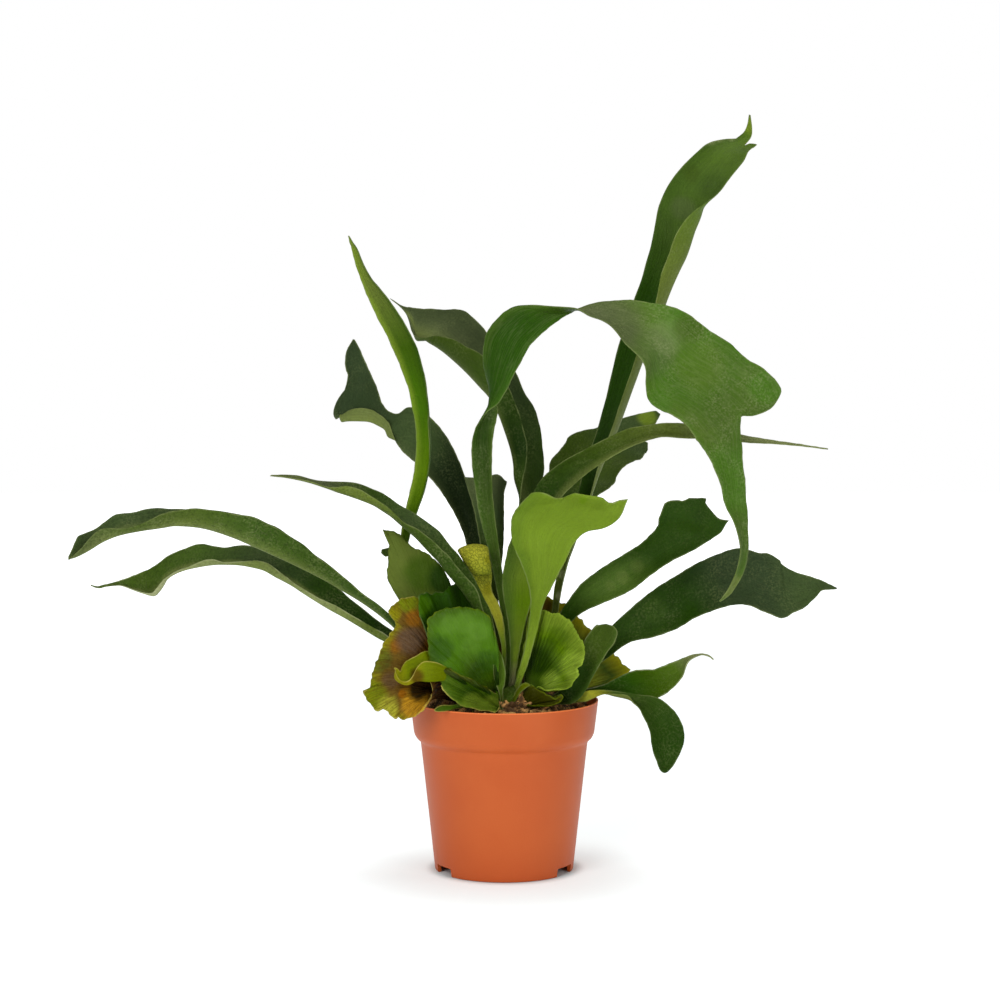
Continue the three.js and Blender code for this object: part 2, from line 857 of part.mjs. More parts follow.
// The pot: a turned shell with a stepped rim band, three notches in its foot and drain holes.
function potSolid() {
  const inner = (radius) => radius - POT_WALL;
  const shell = turned(
    [
      [0, POT_FLOOR_HEIGHT],
      [POT_FOOT_RADIUS - POT_FOOT_RING, POT_FLOOR_HEIGHT],
      [POT_FOOT_RADIUS - POT_FOOT_RING, 0],
      [POT_FOOT_RADIUS - POT_EDGE, 0],
      [POT_FOOT_RADIUS, POT_EDGE],
      [POT_NECK_RADIUS, POT_NECK_HEIGHT],
      [POT_BAND_RADIUS - POT_EDGE, POT_BAND_BOTTOM - POT_EDGE],
      [POT_BAND_RADIUS, POT_BAND_BOTTOM],
      [POT_RIM_RADIUS, POT_HEIGHT - POT_EDGE / 2],
      [POT_RIM_RADIUS - POT_EDGE / 2, POT_HEIGHT],
      [inner(POT_RIM_RADIUS), POT_HEIGHT],
      [inner(POT_BAND_RADIUS), POT_BAND_BOTTOM + POT_WALL],
      [inner(POT_NECK_RADIUS), POT_NECK_HEIGHT],
      [potInside(POT_FLOOR_HEIGHT + POT_WALL), POT_FLOOR_HEIGHT + POT_WALL],
      [0, POT_FLOOR_HEIGHT + POT_WALL],
    ],
    POT_SIDES,
  );
  let solid = solidOf(shell);
  for (const angle of NOTCH_ANGLES) {
    const notch = new THREE.BoxGeometry(NOTCH_DEPTH, NOTCH_WIDTH, 2 * NOTCH_HEIGHT);
    notch.translate(POT_FOOT_RADIUS, 0, 0).rotateZ(THREE.MathUtils.degToRad(angle));
    solid = solid.subtract(solidOf(notch));
  }
  for (let i = 0; i < DRAIN_COUNT; i++) {
    const hole = new THREE.CylinderGeometry(DRAIN_RADIUS, DRAIN_RADIUS, 4 * POT_WALL, DRAIN_SIDES);
    hole.rotateX(Math.PI / 2).translate(DRAIN_CIRCLE, 0, POT_FLOOR_HEIGHT + POT_WALL / 2);
    solid = solid.subtract(solidOf(hole.rotateZ((i * 2 * Math.PI) / DRAIN_COUNT)));
  }
  return solid;
}

// The inner radius of the pot's wall at a height: a plain taper below, and another in the rim band.
function potInside(height) {
  const body = (height - POT_EDGE) / (POT_NECK_HEIGHT - POT_EDGE);
  if (body <= 1) return THREE.MathUtils.lerp(POT_FOOT_RADIUS, POT_NECK_RADIUS, body) - POT_WALL;
  const band = (height - POT_BAND_BOTTOM) / (POT_HEIGHT - POT_BAND_BOTTOM);
  return THREE.MathUtils.lerp(POT_BAND_RADIUS, POT_RIM_RADIUS, Math.max(band, 0)) - POT_WALL;
}

function soilHeight(x, y, radius) {
  const share = Math.min(Math.hypot(x, y) / radius, 1);
  const lumps = Math.sin(0.31 * x + 1.7) * Math.cos(0.27 * y) + Math.sin(0.43 * y + 0.23 * x);
  return SOIL_EDGE_HEIGHT + SOIL_MOUND * (1 - share * share) + SOIL_ROUGHNESS * lumps * (1 - share ** 4);
}

// The soil fills the pot from its floor to a low rough mound.
function soilSolid() {
  const low = POT_FLOOR_HEIGHT + POT_WALL + CLEARANCE;
  const topRadius = potInside(SOIL_EDGE_HEIGHT) - CLEARANCE;
  const surface = Array.from({ length: SOIL_RINGS + 1 }, (_, i) => [
    topRadius * (1 - i / SOIL_RINGS),
    SOIL_EDGE_HEIGHT,
  ]);
  const shoulder = POT_BAND_BOTTOM + 2 * POT_WALL;
  const geometry = turned(
    [
      [0, low],
      [potInside(low) - CLEARANCE, low],
      [potInside(POT_NECK_HEIGHT) - CLEARANCE, POT_NECK_HEIGHT],
      [potInside(shoulder) - 2 * CLEARANCE, shoulder],
      ...surface,
    ],
    SOIL_SIDES,
  );
  const position = geometry.attributes.position;
  for (let i = 0; i < position.count; i++) {
    if (Math.abs(position.getZ(i) - SOIL_EDGE_HEIGHT) < 1e-3) {
      position.setZ(i, soilHeight(position.getX(i), position.getY(i), topRadius));
    }
  }
  return solidOf(geometry);
}

// The rhizome is a lumpy rounded block that the leaves grow from.
function rhizomeSolid(grown) {
  const geometry = new THREE.SphereGeometry(1, RHIZOME_SIDES, RHIZOME_RINGS).rotateX(Math.PI / 2);
  const position = geometry.attributes.position;
  const point = new THREE.Vector3();
  for (let i = 0; i < position.count; i++) {
    point.fromBufferAttribute(position, i);
    const reach = ["x", "y", "z"].reduce((sum, k) => sum + Math.abs(point[k]) ** RHIZOME_FULLNESS, 0);
    const lump = 1 + RHIZOME_LUMP * Math.sin(5 * point.x + 1) * Math.cos(4 * point.y + 3 * point.z);
    point.multiplyScalar(lump / reach ** (1 / RHIZOME_FULLNESS));
    point.multiply(RHIZOME_HALF_SIZE).add(RHIZOME_CENTRE);
    position.setXYZ(i, point.x, point.y, point.z);
  }
  return solidOf(grownOutwards(geometry, grown));
}

// The same surface with every point moved outwards along the normal of the faces around it.
function grownOutwards(geometry, distance) {
  geometry.deleteAttribute("normal");
  geometry.deleteAttribute("uv");
  const merged = mergeVertices(geometry, 1e-4);
  merged.computeVertexNormals();
  const { position, normal } = merged.attributes;
  for (let i = 0; i < position.count; i++) {
    position.setXYZ(
      i,
      position.getX(i) + distance * normal.getX(i),
      position.getY(i) + distance * normal.getY(i),
      position.getZ(i) + distance * normal.getZ(i),
    );
  }
  return merged;
}

// A long leaf grows out of the rhizome: its first row is carried down into it, then cut flush.
function longLeafSolid({ lean = 0, rows, lobes = [] }, socket) {
  const leanAt = (i) => lean * (i / (rows.length - 1)) ** 2;
  const { first, second, channels } = readRows(rows, leanAt);
  const sunk = (point) => point.clone().add(new THREE.Vector3(0, 0, -ROOT_DEPTH));
  const trunk = ribbonGrid(
    [sunk(first[0]), ...first],
    [sunk(second[0]), ...second],
    [channels[0], ...channels],
    COLUMNS,
  );
  const sheet = new Sheet();
  const total = trunk.length - 1;
  sheet.grid(trunk, (i) => i / total);
  const last = trunk[total];
  const halves = [last.slice(0, COLUMNS / 2 + 1), last.slice(COLUMNS / 2)];
  lobes.forEach((lobeRows, k) => sheet.grid(lobeGrid(halves[k], lobeRows, lean), () => 1));
  const thickness = (share) =>
    THREE.MathUtils.lerp(STALK_THICKNESS, BLADE_THICKNESS, Math.min(share / STALK_SHARE, 1));
  return sheet.thicken(thickness).subtract(socket);
}

// A round leaf spreads from its heart in the rhizome to its margin, and is cut flush in the same way.
function roundLeafSolid({ heart, rise, lift, margin }, socket) {
  const centre = inView(...heart).add(new THREE.Vector3(0, 0, -ROOT_DEPTH / 2));
  const edge = margin.map((point) => inView(...point));
  const steps = (edge.length - 1) * SHIELD_STEPS;
  const outer = Array.from({ length: steps + 1 }, (_, i) => smoothPoint(edge, i / SHIELD_STEPS));
  const sheet = new Sheet();
  const rings = Array.from({ length: SHIELD_RINGS + 1 }, (_, ring) => {
    const share = ring / SHIELD_RINGS;
    return outer.map((point) => {
      const place = centre.clone().lerp(point, share);
      const swell = 4 * share * (1 - share);
      place.y -= rise * swell;
      place.z += lift * swell;
      return place;
    });
  });
  sheet.grid(rings, () => 1);
  return sheet.thicken(() => SHIELD_THICKNESS).subtract(socket);
}

function meshOf(name, solid) {
  const kind = name.split("_")[0];
  const material = new THREE.MeshStandardMaterial({
    color: COLOURS[name] ?? COLOURS[kind],
    roughness: kind === "soil" || kind === "rhizome" ? 0.95 : 0.5,
    metalness: 0,
  });
  const mesh = new THREE.Mesh(geometryOf(solid), material);
  mesh.name = name;
  return mesh;
}

const group = new THREE.Group();
const rhizome = rhizomeSolid(0);
const socket = rhizomeSolid(CLEARANCE);
group.add(meshOf("pot", potSolid()));
group.add(meshOf("soil", soilSolid().subtract(socket)));
group.add(meshOf("rhizome", rhizome));
for (const [name, leaf] of Object.entries(LONG_LEAVES)) {
  group.add(meshOf(name, longLeafSolid(leaf, socket)));
}
for (const [name, leaf] of Object.entries(ROUND_LEAVES)) {
  group.add(meshOf(name, roundLeafSolid(leaf, socket)));
}
group.position.copy(AXIS_FROM_MIDDLE);

export default group;
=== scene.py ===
import math

import bmesh
import bpy
import numpy as np
from mathutils import Matrix, Vector
from mathutils.kdtree import KDTree


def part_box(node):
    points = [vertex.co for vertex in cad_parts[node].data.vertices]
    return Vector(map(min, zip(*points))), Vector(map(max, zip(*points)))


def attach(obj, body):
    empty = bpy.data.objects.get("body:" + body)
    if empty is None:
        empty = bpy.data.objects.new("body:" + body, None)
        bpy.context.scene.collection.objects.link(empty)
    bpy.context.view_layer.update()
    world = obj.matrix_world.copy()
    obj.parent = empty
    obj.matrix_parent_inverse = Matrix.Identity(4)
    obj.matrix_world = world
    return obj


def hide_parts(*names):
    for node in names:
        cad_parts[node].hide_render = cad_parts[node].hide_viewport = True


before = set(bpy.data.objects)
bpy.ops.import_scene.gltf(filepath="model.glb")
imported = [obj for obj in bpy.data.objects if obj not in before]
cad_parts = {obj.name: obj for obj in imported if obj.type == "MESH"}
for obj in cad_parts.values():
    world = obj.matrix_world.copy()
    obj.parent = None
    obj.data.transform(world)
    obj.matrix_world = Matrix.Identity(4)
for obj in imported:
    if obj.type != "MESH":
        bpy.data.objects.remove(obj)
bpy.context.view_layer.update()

MM = 0.001
SEED = 7

# How the picture looks at the plant, about the pot's axis: a leaf's points are [across, down] in a
# picture of 1000 by 1000 points, with their depth behind the axis in millimetres.
PICTURE = 1000
EYE = np.array([-3.3, -1500.0, 337.0]) * MM
LOOK_DOWN = 0.0639
FOCAL = 2317
SENSOR = 36

pot_low, pot_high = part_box("pot")
AXIS = np.array([(pot_low.x + pot_high.x) / 2, (pot_low.y + pot_high.y) / 2, pot_low.z])

# Where the leaves grow from. The thickness goes from stalk to blade between two shares of the length,
# and a leaf thins out towards its margin over so many of its thicknesses.
ROOT = np.array([0, 0, 8]) * MM
STALK_THICKNESS = 3.2 * MM
BLADE_THICKNESS = 1.1 * MM
MARGIN_THICKNESS = 0.35 * MM
SHIELD_THICKNESS = 1.0 * MM
STALK_START = 0.05
STALK_SHARE = 0.4
BLADE_SLOPE = 1.4
SHIELD_SLOPE = 1.5

# How fine the grids of points are. Points that round to the same micrometre are one.
COLUMNS = 20
ROW_STEP = 2.2 * MM
OUTLINE_STEPS = 12
SHIELD_RINGS = 26
SHIELD_STEPS = 14
RING_SPREAD = 0.9
WELDS_PER_METRE = 1e6

# The margin of a long leaf swings and is a little jagged, both more and more towards the edge. A leaf
# under the full width swings less. Its two sides are apart by a share of a swing.
RUFFLE = 0.65 * MM
RUFFLE_LENGTH = 34 * MM
RUFFLE_WIDTH = 22 * MM
RUFFLE_POWER = 3
SIDE_SHIFT = 0.6
JAG = 0.16 * MM
JAG_LENGTH = 9 * MM
JAG_POWER = 8

# The same for a round leaf, with its ribs, in millimetres. All but the ribs fades out at the two ends
# of its margin.
SHIELD_WAVES = {
    "jag": 0.5,
    "jag_length": 7,
    "rib": 0.22,
    "rib_length": 4.5,
    "ruffle": 0.9,
    "ruffle_length": 21,
}
FADE = 8 * MM
RIB_SWELL = 3
SHIELD_RUFFLE_POWER = 5

# Where the waves of a leaf start comes from its name: a step, and how many starts there are.
LONG_PHASES = (1.7, 11)
ROUND_PHASES = (1.3, 13)

# A row of a long leaf with so many numbers has a channel, and a longer one the point of its keel.
CHANNEL_ROW = 7

# A long leaf is a list of rows from its base to its tip. A row is one edge, the other edge and what
# lies between them: across, down, depth, across, down, depth, then either how deep the channel is or
# the point of its keel. The upper face looks at the viewer where the first edge is on the left of a
# rising leaf. The leaf leans back by so many millimetres at its tip, more and more along its length.
# Its ruffle is how much of the swing of the margin it has. An end is the outline of a blunt tip, from
# the first edge to the second, and the lobes go on from the two halves of the last row.
LONG_LEAVES = {
    "frond_tall_right": {
        "lean": 45,
        "rows": [
            [541, 696, 3, 549, 696, 1, 1], [547, 650, 4, 553, 650, 2, 1.5], [552, 610, 6, 558, 611, 3, 1.5],
            [554, 590, 8, 561, 590, 4, 1.8], [556.5, 577, 9, 563.5, 578, 5, 2],
            [560, 558, 11, 568, 560, 6, 2.5], [565, 540, 13, 575, 541, 7, 3],
            [577, 496, 16, 590, 496, 7, 5], [584, 468, 18, 597, 470, 6, 7],
            [600, 420, 19, 612.5, 426, 2, 8.8], [610.5, 378, 20, 626.5, 385, 0, 10.8],
            [620.5, 338, 21, 638, 352, -2, 12.8], [633, 302, 22, 652.5, 318, -3, 13.8],
            [641, 280, 23, 656.5, 299, -3, 667, 295, 17], [647.5, 258, 24, 661, 275, -3, 677.5, 272, 17],
            [652, 240, 25, 669, 254, -3, 686, 254, 17], [655.5, 222, 26, 677, 232, -2, 693, 232, 17],
            [660, 202, 27, 691, 214, -1, 698.5, 213, 18], [670.5, 181.5, 29, 716, 195, 2, 8],
            [684.5, 164, 30.5, 727.5, 181.5, 4, 7], [698, 151, 31.5, 736, 170.5, 5, 6],
            [709, 143, 33, 744, 160.5, 7, 4], [722, 139.5, 34, 748, 152, 8, 3],
            [736, 138.5, 35, 752.5, 148, 14, 2],
        ],
        "lobes": [
            [
                [743.5, 132.5, 35, 751, 137, 29, 0.8], [747, 125.5, 36, 752, 128, 33, 0.5],
                [749, 114.5, 38, 750.5, 115, 38, 0.2],
            ],
            [[749.5, 143.5, 26, 753.5, 147.5, 17, 0.6], [756, 144, 20, 757, 144.6, 18, 0.2]],
        ],
        "ruffle": 0.3,
    },
    "frond_arching": {
        "rows": [
            [500, 702, -7, 508, 702, -8, 1.5], [506, 660, -7, 512, 660, -9, 1.5],
            [503, 625, -7, 510, 625, -9, 1.5], [497, 592, -7, 504, 592, -10, 2],
            [489.5, 555, -8, 500, 555, -11, 2.5], [480, 518, -8, 495, 518, -12, 3],
            [474.5, 485, -9, 492, 485, -14, 4], [471.5, 452, -13, 492, 452, -15, 4],
            [474, 433, -17, 493.5, 433, -14.5, 4], [479.5, 421.5, -20, 496.5, 421, -13, 3.5],
            [487.5, 411, -24, 498, 411, -11, 3.5], [499, 403, -26, 495, 401.5, -9, 5],
            [508, 388, -27, 488.5, 385, -11, 4], [515, 373, -27, 484, 368, -13.5, 4],
            [524, 356, -26, 483.5, 346, -16, 4], [531, 345, -25.5, 487, 332, -17.5, 4],
            [542, 333.5, -24.5, 496, 320, -19, 4], [553, 324.5, -23, 506.5, 310.5, -21, 3.5],
            [563, 317.5, -21, 519.5, 305.5, -22.5, 3], [570, 313, -19, 542, 306, -27, 1.5],
            [579, 309, -18, 573, 307.5, -35, 1], [590, 304, -22, 589, 315.5, -42, 1.5],
            [605, 301, -26, 603, 321.5, -46, 2.5], [621, 300, -29, 615, 330, -50, 4],
            [638, 301, -31, 627, 345.5, -53, 5], [655, 303, -33, 640, 358, -55.5, 6],
            [671.5, 306.5, -36, 645.5, 369, -57.5, 6], [686.5, 313, -38, 646, 386, -59.5, 6],
            [700.5, 323.5, -40.5, 649, 401, -61, 6], [713.5, 332.5, -42.5, 659, 409.5, -63, 6],
            [729.5, 343, -45, 670, 414, -65, 5.5], [746.5, 358.5, -49, 683, 422, -67, 5],
            [762.5, 367.5, -52, 690.5, 431, -69.5, 4.5], [776.5, 377.5, -55, 696, 440, -71, 4],
        ],
        "end": [[775, 379, -55], [757, 400, -58], [738, 419.5, -64], [715, 431, -69], [696, 440, -71]],
        "lobes": [
            [
                [781, 388, -58, 743, 416, -65, 1.5], [780.5, 394, -60, 752, 416, -65.5, 1.2],
                [777.5, 400, -62, 760, 413.5, -65, 1], [774.5, 404.5, -63, 766, 410.5, -65, 0.6],
                [772, 407, -64, 769, 409.5, -65, 0.3],
            ],
            [
                [740.5, 430, -65, 700, 444.5, -73, 3], [742, 447, -66.5, 705.5, 452, -74.5, 3.5],
                [742.7, 464, -68.5, 712.5, 464, -77, 4], [745.5, 483, -70, 719.5, 482, -79.5, 4],
                [747, 505, -71.5, 724.5, 503, -81, 3.5], [748, 527, -73, 735, 525, -83, 3],
                [748.8, 546, -75, 740.3, 546, -84, 2.5], [747, 561, -77, 739.4, 561, -85, 2],
                [741.5, 577, -79.5, 735.5, 575, -85, 1.5], [731, 594, -83, 727, 591, -85, 0.8],
                [720, 602, -85, 719.3, 601, -85, 0.2],
            ],
        ],
    },
    "frond_pale_left": {
        "lean": -30,
        "rows": [
            [446, 697, 2, 453, 697, 2, 1], [425, 655, 4, 432, 652, 3, 1.2], [407, 610, 6, 414, 607, 5, 1.5],
            [399, 572, 6, 406, 571, 5, 1.5], [400, 540, 6, 409, 540, 4, 2], [405, 512, 5, 417, 512, 0, 3],
            [410.5, 488, 4, 425, 488, -3, 4], [415.5, 460, 3, 429, 460, -6, 5],
            [415.5, 430, 2, 428.5, 427, -8, 5], [411, 400, 1.5, 427, 398, -8.5, 4.5],
            [405, 380, 1, 425, 378, -9, 4], [396.5, 357, 0, 418, 352, -10, 4],
            [387.5, 338, -0.5, 409, 331, -10, 4], [378.5, 320, -1, 398, 313, -10, 3.5],
            [369, 300, -2, 388, 299, -9, 3], [364.5, 290, -2.5, 379, 287.5, -9, 2.5],
            [360, 278, -3, 371.5, 279, -8, 2], [355.5, 264, -3.5, 364, 266, -7.5, 1.5],
            [351.5, 249, -4, 358, 251, -7, 1], [349.5, 242, -5, 353.5, 243.5, -6.5, 0.5],
            [348, 236, -5, 349, 236, -6, 0.2],
        ],
    },
    "frond_forked_left": {
        "lean": 45,
        "rows": [
            [478, 695, 14, 485, 695, 14, 1], [474, 640, 17, 482, 640, 16, 1.5],
            [470, 590, 20, 479, 590, 18, 2], [467, 548, 23, 481.5, 545, 20, 3],
            [459, 522.5, 25, 477, 518, 22, 3.5], [447.5, 501.5, 27, 470.5, 493, 24, 4],
            [434.5, 483, 30, 461, 466, 26, 4], [418.5, 465.5, 33, 448, 439, 28, 4],
            [401.5, 450.5, 36, 432, 419, 30, 4], [393, 434, 38, 411, 407, 33, 392, 434.5, 40],
            [388, 422, 37, 398, 413.5, 34, 385.5, 429, 41],
            [379.5, 414.5, 38, 388, 410.5, 35, 373, 422.5, 42],
            [369, 409, 39, 381, 401, 37, 361, 420.5, 44], [353, 408.8, 42, 377, 387, 38, 348, 419.8, 46],
            [339, 414, 46, 371, 374, 39, 336, 420, 47],
        ],
        "end": [
            [336, 419.5, 46], [333.8, 416, 46], [333.5, 411, 47], [336, 403, 47], [340, 396, 46],
            [345, 389.5, 45], [349.5, 385.5, 44], [352, 382, 43], [358, 377, 41], [371, 374, 39],
        ],
        "lobes": [
            [],
            [
                [347.5, 376, 43, 368, 367, 39, 2], [345.5, 370, 43, 365, 361, 40, 1.8],
                [345, 362, 44, 361.5, 353, 41, 1.5], [346.5, 351, 45, 358, 345.5, 43, 1],
                [353, 339, 46, 354.5, 339.5, 46, 0.3],
            ],
        ],
    },
    "frond_front": {
        "lean": -25,
        "columns": 32,
        "end_reach": 9,
        "rows": [
            [507, 704, -14, 513, 704, -14, 1], [514, 686, -17, 519.5, 686, -17, 1],
            [518.5, 670, -19, 526.5, 668, -19, 1], [524, 650, -21, 532, 650, -21, 1],
            [528.5, 625, -24, 538.5, 625, -24, 1.5], [530.5, 604, -27, 543.5, 604, -27, 2],
            [529, 588, -29, 551, 589, -29, 3], [524.5, 573, -30, 559.5, 572, -30.5, 3.5],
            [518, 557, -31, 566, 560, -32, 4], [512.5, 543, -33, 574, 543.5, -34, 5],
            [511, 529, -34, 587, 532, -37, 5], [511.5, 519, -34, 603, 528, -39.5, 4.5],
            [515, 511, -34, 615, 522.5, -42, 4], [520, 504, -35, 622.5, 514, -44, 3.5],
            [525.5, 497.5, -36, 628, 506, -45.5, 3],
        ],
        "end": [
            [531, 493, -37], [539, 492, -40], [547, 494, -43], [555, 498, -40], [562, 498, -34],
            [568, 495.5, -38], [575, 493, -44], [582, 494.5, -46], [592, 496, -47], [602, 497.5, -49],
            [610, 503, -44], [620, 500, -42], [628, 499, -46],
        ],
    },
    "frond_front_left": {
        "rows": [
            [505, 704, -11, 511, 704, -11, 1], [509, 680, -12, 515, 680, -13, 1],
            [510, 650, -13, 519.5, 650, -15, 1.2], [508, 625, -13, 525, 625, -17.5, 2],
            [504, 600, -14, 531.5, 600, -20, 3], [502, 580, -15, 534, 580, -21, 3],
            [505, 562, -17, 545, 562, -23, 3], [509, 545, -19, 549, 545, -25, 3],
            [515, 532, -22, 545, 532, -26, 2], [523, 520, -24, 537, 522, -27, 1],
        ],
    },
    "frond_back_dark": {
        "lean": 40,
        "rows": [
            [500, 696, 4, 507, 696, 4, 1], [503, 650, 4, 511, 650, 6, 1.5], [508, 600, 4, 517, 600, 9, 2],
            [513, 550, 5, 526, 550, 12, 3], [519, 508, 4, 537, 508, 14, 4],
            [523, 479, 3, 543, 479, 16, 516.5, 480, 7], [527, 463, 3, 543.5, 461, 17, 514.5, 463, 7],
            [526.8, 448, 2, 542.8, 444, 18, 511.5, 448.5, 8], [524, 430, 2, 540, 427, 19, 506, 431.5, 9],
            [520, 415, 2, 535.5, 412, 21, 500.5, 416.5, 10], [514, 400, 2, 528.5, 398, 22, 495, 405.5, 12],
            [507, 386, 2, 521, 384, 24, 489.5, 396.5, 14], [499, 373, 3, 512, 366, 28, 480, 386, 17],
            [490, 362, 4, 502, 352, 31, 469, 374, 20], [480, 354, 5, 491, 338, 34, 458, 363, 23],
            [468, 346.5, 7, 479, 324, 37, 446.5, 352.5, 26], [456, 341, 10, 467, 312, 40, 436, 344, 29],
            [445, 337, 14, 455, 309, 42, 428.5, 339.5, 31],
            [434, 335.5, 19, 441, 310, 44, 425.5, 337.5, 33],
            [424, 337.3, 24, 428, 308.8, 45, 421, 336.5, 36], [417, 337, 30, 418, 308, 46, 416, 335, 38],
            [411.5, 331, 37, 410, 307.3, 46, 1], [408.5, 320, 42, 403, 306, 46, 0.8],
            [404, 311, 44, 397, 303, 46, 0.5], [391, 299, 46, 390, 298, 47, 0.2],
        ],
    },
    "frond_back_right": {
        "lean": 45,
        "rows": [
            [527, 694, 14, 534, 694, 14, 1], [533, 640, 20, 541, 640, 18, 1.5],
            [538, 590, 21, 547, 590, 19, 2], [541, 545, 25, 554, 547, 23, 3],
            [545, 505, 29, 572, 515, 28, 4], [547.5, 488, 31, 586, 503, 30, 4],
            [548.8, 474, 33, 598, 495, 32, 5], [550.5, 461, 35, 608, 489, 33, 5],
            [557, 453, 37, 614.5, 483, 34.5, 5], [564, 445, 38, 618, 474, 36, 5],
            [570, 435.5, 40, 625, 466, 37, 5], [582, 430.5, 41.5, 633.5, 461.5, 38.5, 4.5],
            [597, 427.5, 43, 641, 459, 39.5, 4], [612, 421.5, 45, 645.5, 453, 40.5, 3],
        ],
        "lobes": [
            [
                [634, 415, 47, 650, 429, 44, 1.5], [649, 411.5, 49.5, 657.5, 420, 47.5, 0.8],
                [656.5, 410.8, 50, 660.5, 414, 49, 0.3],
            ],
            [[644, 441, 44, 646, 453, 42, 0.8], [648, 443, 44, 648, 450, 43.5, 0.3]],
        ],
    },
    "frond_narrow_right": {
        "lean": -25,
        "rows": [
            [514, 698, -1, 520, 698, -1, 1], [518, 650, 0, 525, 650, -1, 1],
            [521, 600, 0, 529, 600, -2, 1.2], [524, 550, 0, 535, 550, -3, 2],
            [529, 510, 0, 549, 515, -5, 3], [538, 484, -1, 567, 491, -8, 4],
            [556, 466, -3, 592, 470, -11, 4], [579, 452.5, -6, 617, 454, -15, 4],
            [604, 439.5, -9, 638, 444, -18, 3.5], [631, 428, -12, 661, 437, -21, 3],
            [666, 423, -15, 688, 438.5, -23, 2.5], [702, 425.5, -18, 715, 438, -25, 2],
            [738, 434, -21, 741, 442, -26, 1.2], [773, 440, -24, 774, 444, -27, 0.5],
            [800, 444, -26, 800, 446, -27.5, 0.3], [828, 448.5, -28, 828, 449.5, -28, 0.1],
        ],
    },
    "frond_right_upper": {
        "lean": -30,
        "columns": 28,
        "end_reach": 6,
        "rows": [
            [523, 692, -5, 530, 695, -6, 1], [538, 655, -4, 546, 660, -7, 1.2],
            [552, 625, -5, 563, 632, -8, 2], [566, 604, -6, 580, 614, -10, 3],
            [579, 586, -8, 603, 603, -13, 4], [592, 575, -9, 622, 595, -15, 4.5],
            [608, 564, -10, 636, 587, -17, 5], [625, 553.5, -11, 651, 575, -19, 5],
            [639, 545, -12.5, 670, 562, -20.5, 5], [649, 536, -14, 690, 552, -22, 4.5],
            [657, 527, -15, 707, 542, -23.5, 4], [659, 518, -16.5, 717.5, 535.5, -24.5, 3.5],
            [661.5, 510, -18, 726, 528, -25.5, 3],
        ],
        "end": [
            [664.5, 503.5, -19], [669, 501, -19], [674, 500.3, -20], [680, 500.3, -20], [684, 501.2, -20],
            [688, 498.2, -21], [697, 498.2, -22], [706, 498, -23], [705.5, 503, -23], [710, 509, -24],
            [715.5, 515.5, -25], [720, 519, -26], [729, 520.5, -26],
        ],
    },
    "frond_right_lower": {
        "lean": 45,
        "rows": [
            [557, 690, 0, 563, 696, -2, 1], [578, 665, -1, 586, 673, -4, 1.5],
            [597, 642, -2, 609, 657, -6, 2.5], [612, 626, -3, 629, 642.5, -9, 3],
            [632, 607, -5, 654, 637, -13, 4], [652, 591, -6.5, 676, 629, -16, 4.5],
            [672, 578, -8, 694, 618.5, -18, 5], [690, 567, -9, 710.5, 611.5, -20, 5],
            [706, 559, -10.5, 727.5, 606, -21, 5], [722, 552.5, -12.5, 738.5, 604.5, -22, 5],
            [737, 548, -14, 750.5, 606, -23, 4.5], [749, 550, -15.5, 763.5, 611.5, -24, 4],
            [757.5, 552.8, -17, 771.5, 614.5, -25, 3.5], [769, 553.6, -18, 779.5, 618, -26, 3],
            [779.5, 559.8, -19.5, 787, 617, -26.5, 2.8], [781.5, 563.5, -20.5, 793.5, 612.5, -27, 2.6],
            [790.5, 569.5, -22, 802.5, 609, -28, 2.3], [801.5, 574, -23.5, 810, 603, -28.5, 2],
            [813.5, 577.5, -25, 816.5, 596.5, -29, 1.5], [823.5, 581, -26.5, 822, 590.5, -29, 0.8],
            [830.5, 584.5, -27.5, 829, 589.8, -28.5, 0.4], [837, 587.8, -28, 837, 589, -28, 0.2],
        ],
    },
    "frond_short_dark": {
        "rows": [
            [546, 700, -20, 553, 705, -21, 1], [557, 692, -27, 571, 704, -31, 2],
            [568, 678, -29, 583, 694, -34, 3], [576, 660, -30, 594, 675, -34, 4],
            [582, 646, -30, 606, 654, -34, 4], [587, 636, -30, 613, 645, -33, 3],
            [593, 628.5, -30, 617, 636.5, -32, 2], [599, 625, -30, 617, 630.5, -31.5, 1.2],
            [606, 623.8, -30, 613, 625.8, -31, 0.5],
        ],
    },
    "frond_low_right": {
        "lean": -25,
        "rows": [
            [558, 692, -14, 563, 698, -14, 1], [574, 690, -18, 580, 697, -19, 1.5],
            [590, 688, -22, 597, 695, -25, 2.5], [606, 683.5, -25, 611, 692, -29, 3],
            [620, 676.5, -28, 628, 694, -33, 3.5], [632, 671, -30, 641, 698, -36, 4],
            [643, 669.5, -32, 655, 698.5, -38.5, 4], [653, 669.5, -34, 666, 693.5, -40, 3.5],
            [663, 666, -36, 676, 684.5, -42, 3], [673, 662, -38.5, 683, 676, -43.5, 2.5],
            [683, 658, -41, 686, 665, -44.5, 1.8], [691, 654.8, -43, 690.5, 659.2, -46, 1],
            [701, 653.3, -45.5, 700.5, 655.2, -47, 0.4], [709, 655, -47, 708.5, 656.5, -47.5, 0.3],
            [713.5, 659, -48, 713, 660, -48, 0.1],
        ],
    },
    "frond_hanging_right": {
        "rows": [
            [556, 699, -18, 560, 705, -18, 1], [568, 696, -24, 573, 703, -25, 1.2],
            [582, 692, -29, 587, 701, -31, 1.5], [596, 690, -35, 602, 694.5, -38, 2],
            [612, 690.5, -40, 615, 694, -45, 2.5], [630, 693, -44, 628, 695.5, -51, 3],
            [644, 695.5, -46, 633, 701.5, -54.5, 3.5], [657, 697.5, -48, 638.5, 707.5, -57, 4],
            [669, 705, -50, 643.5, 717, -59.5, 4], [678.5, 716.5, -52, 649, 729, -62, 4],
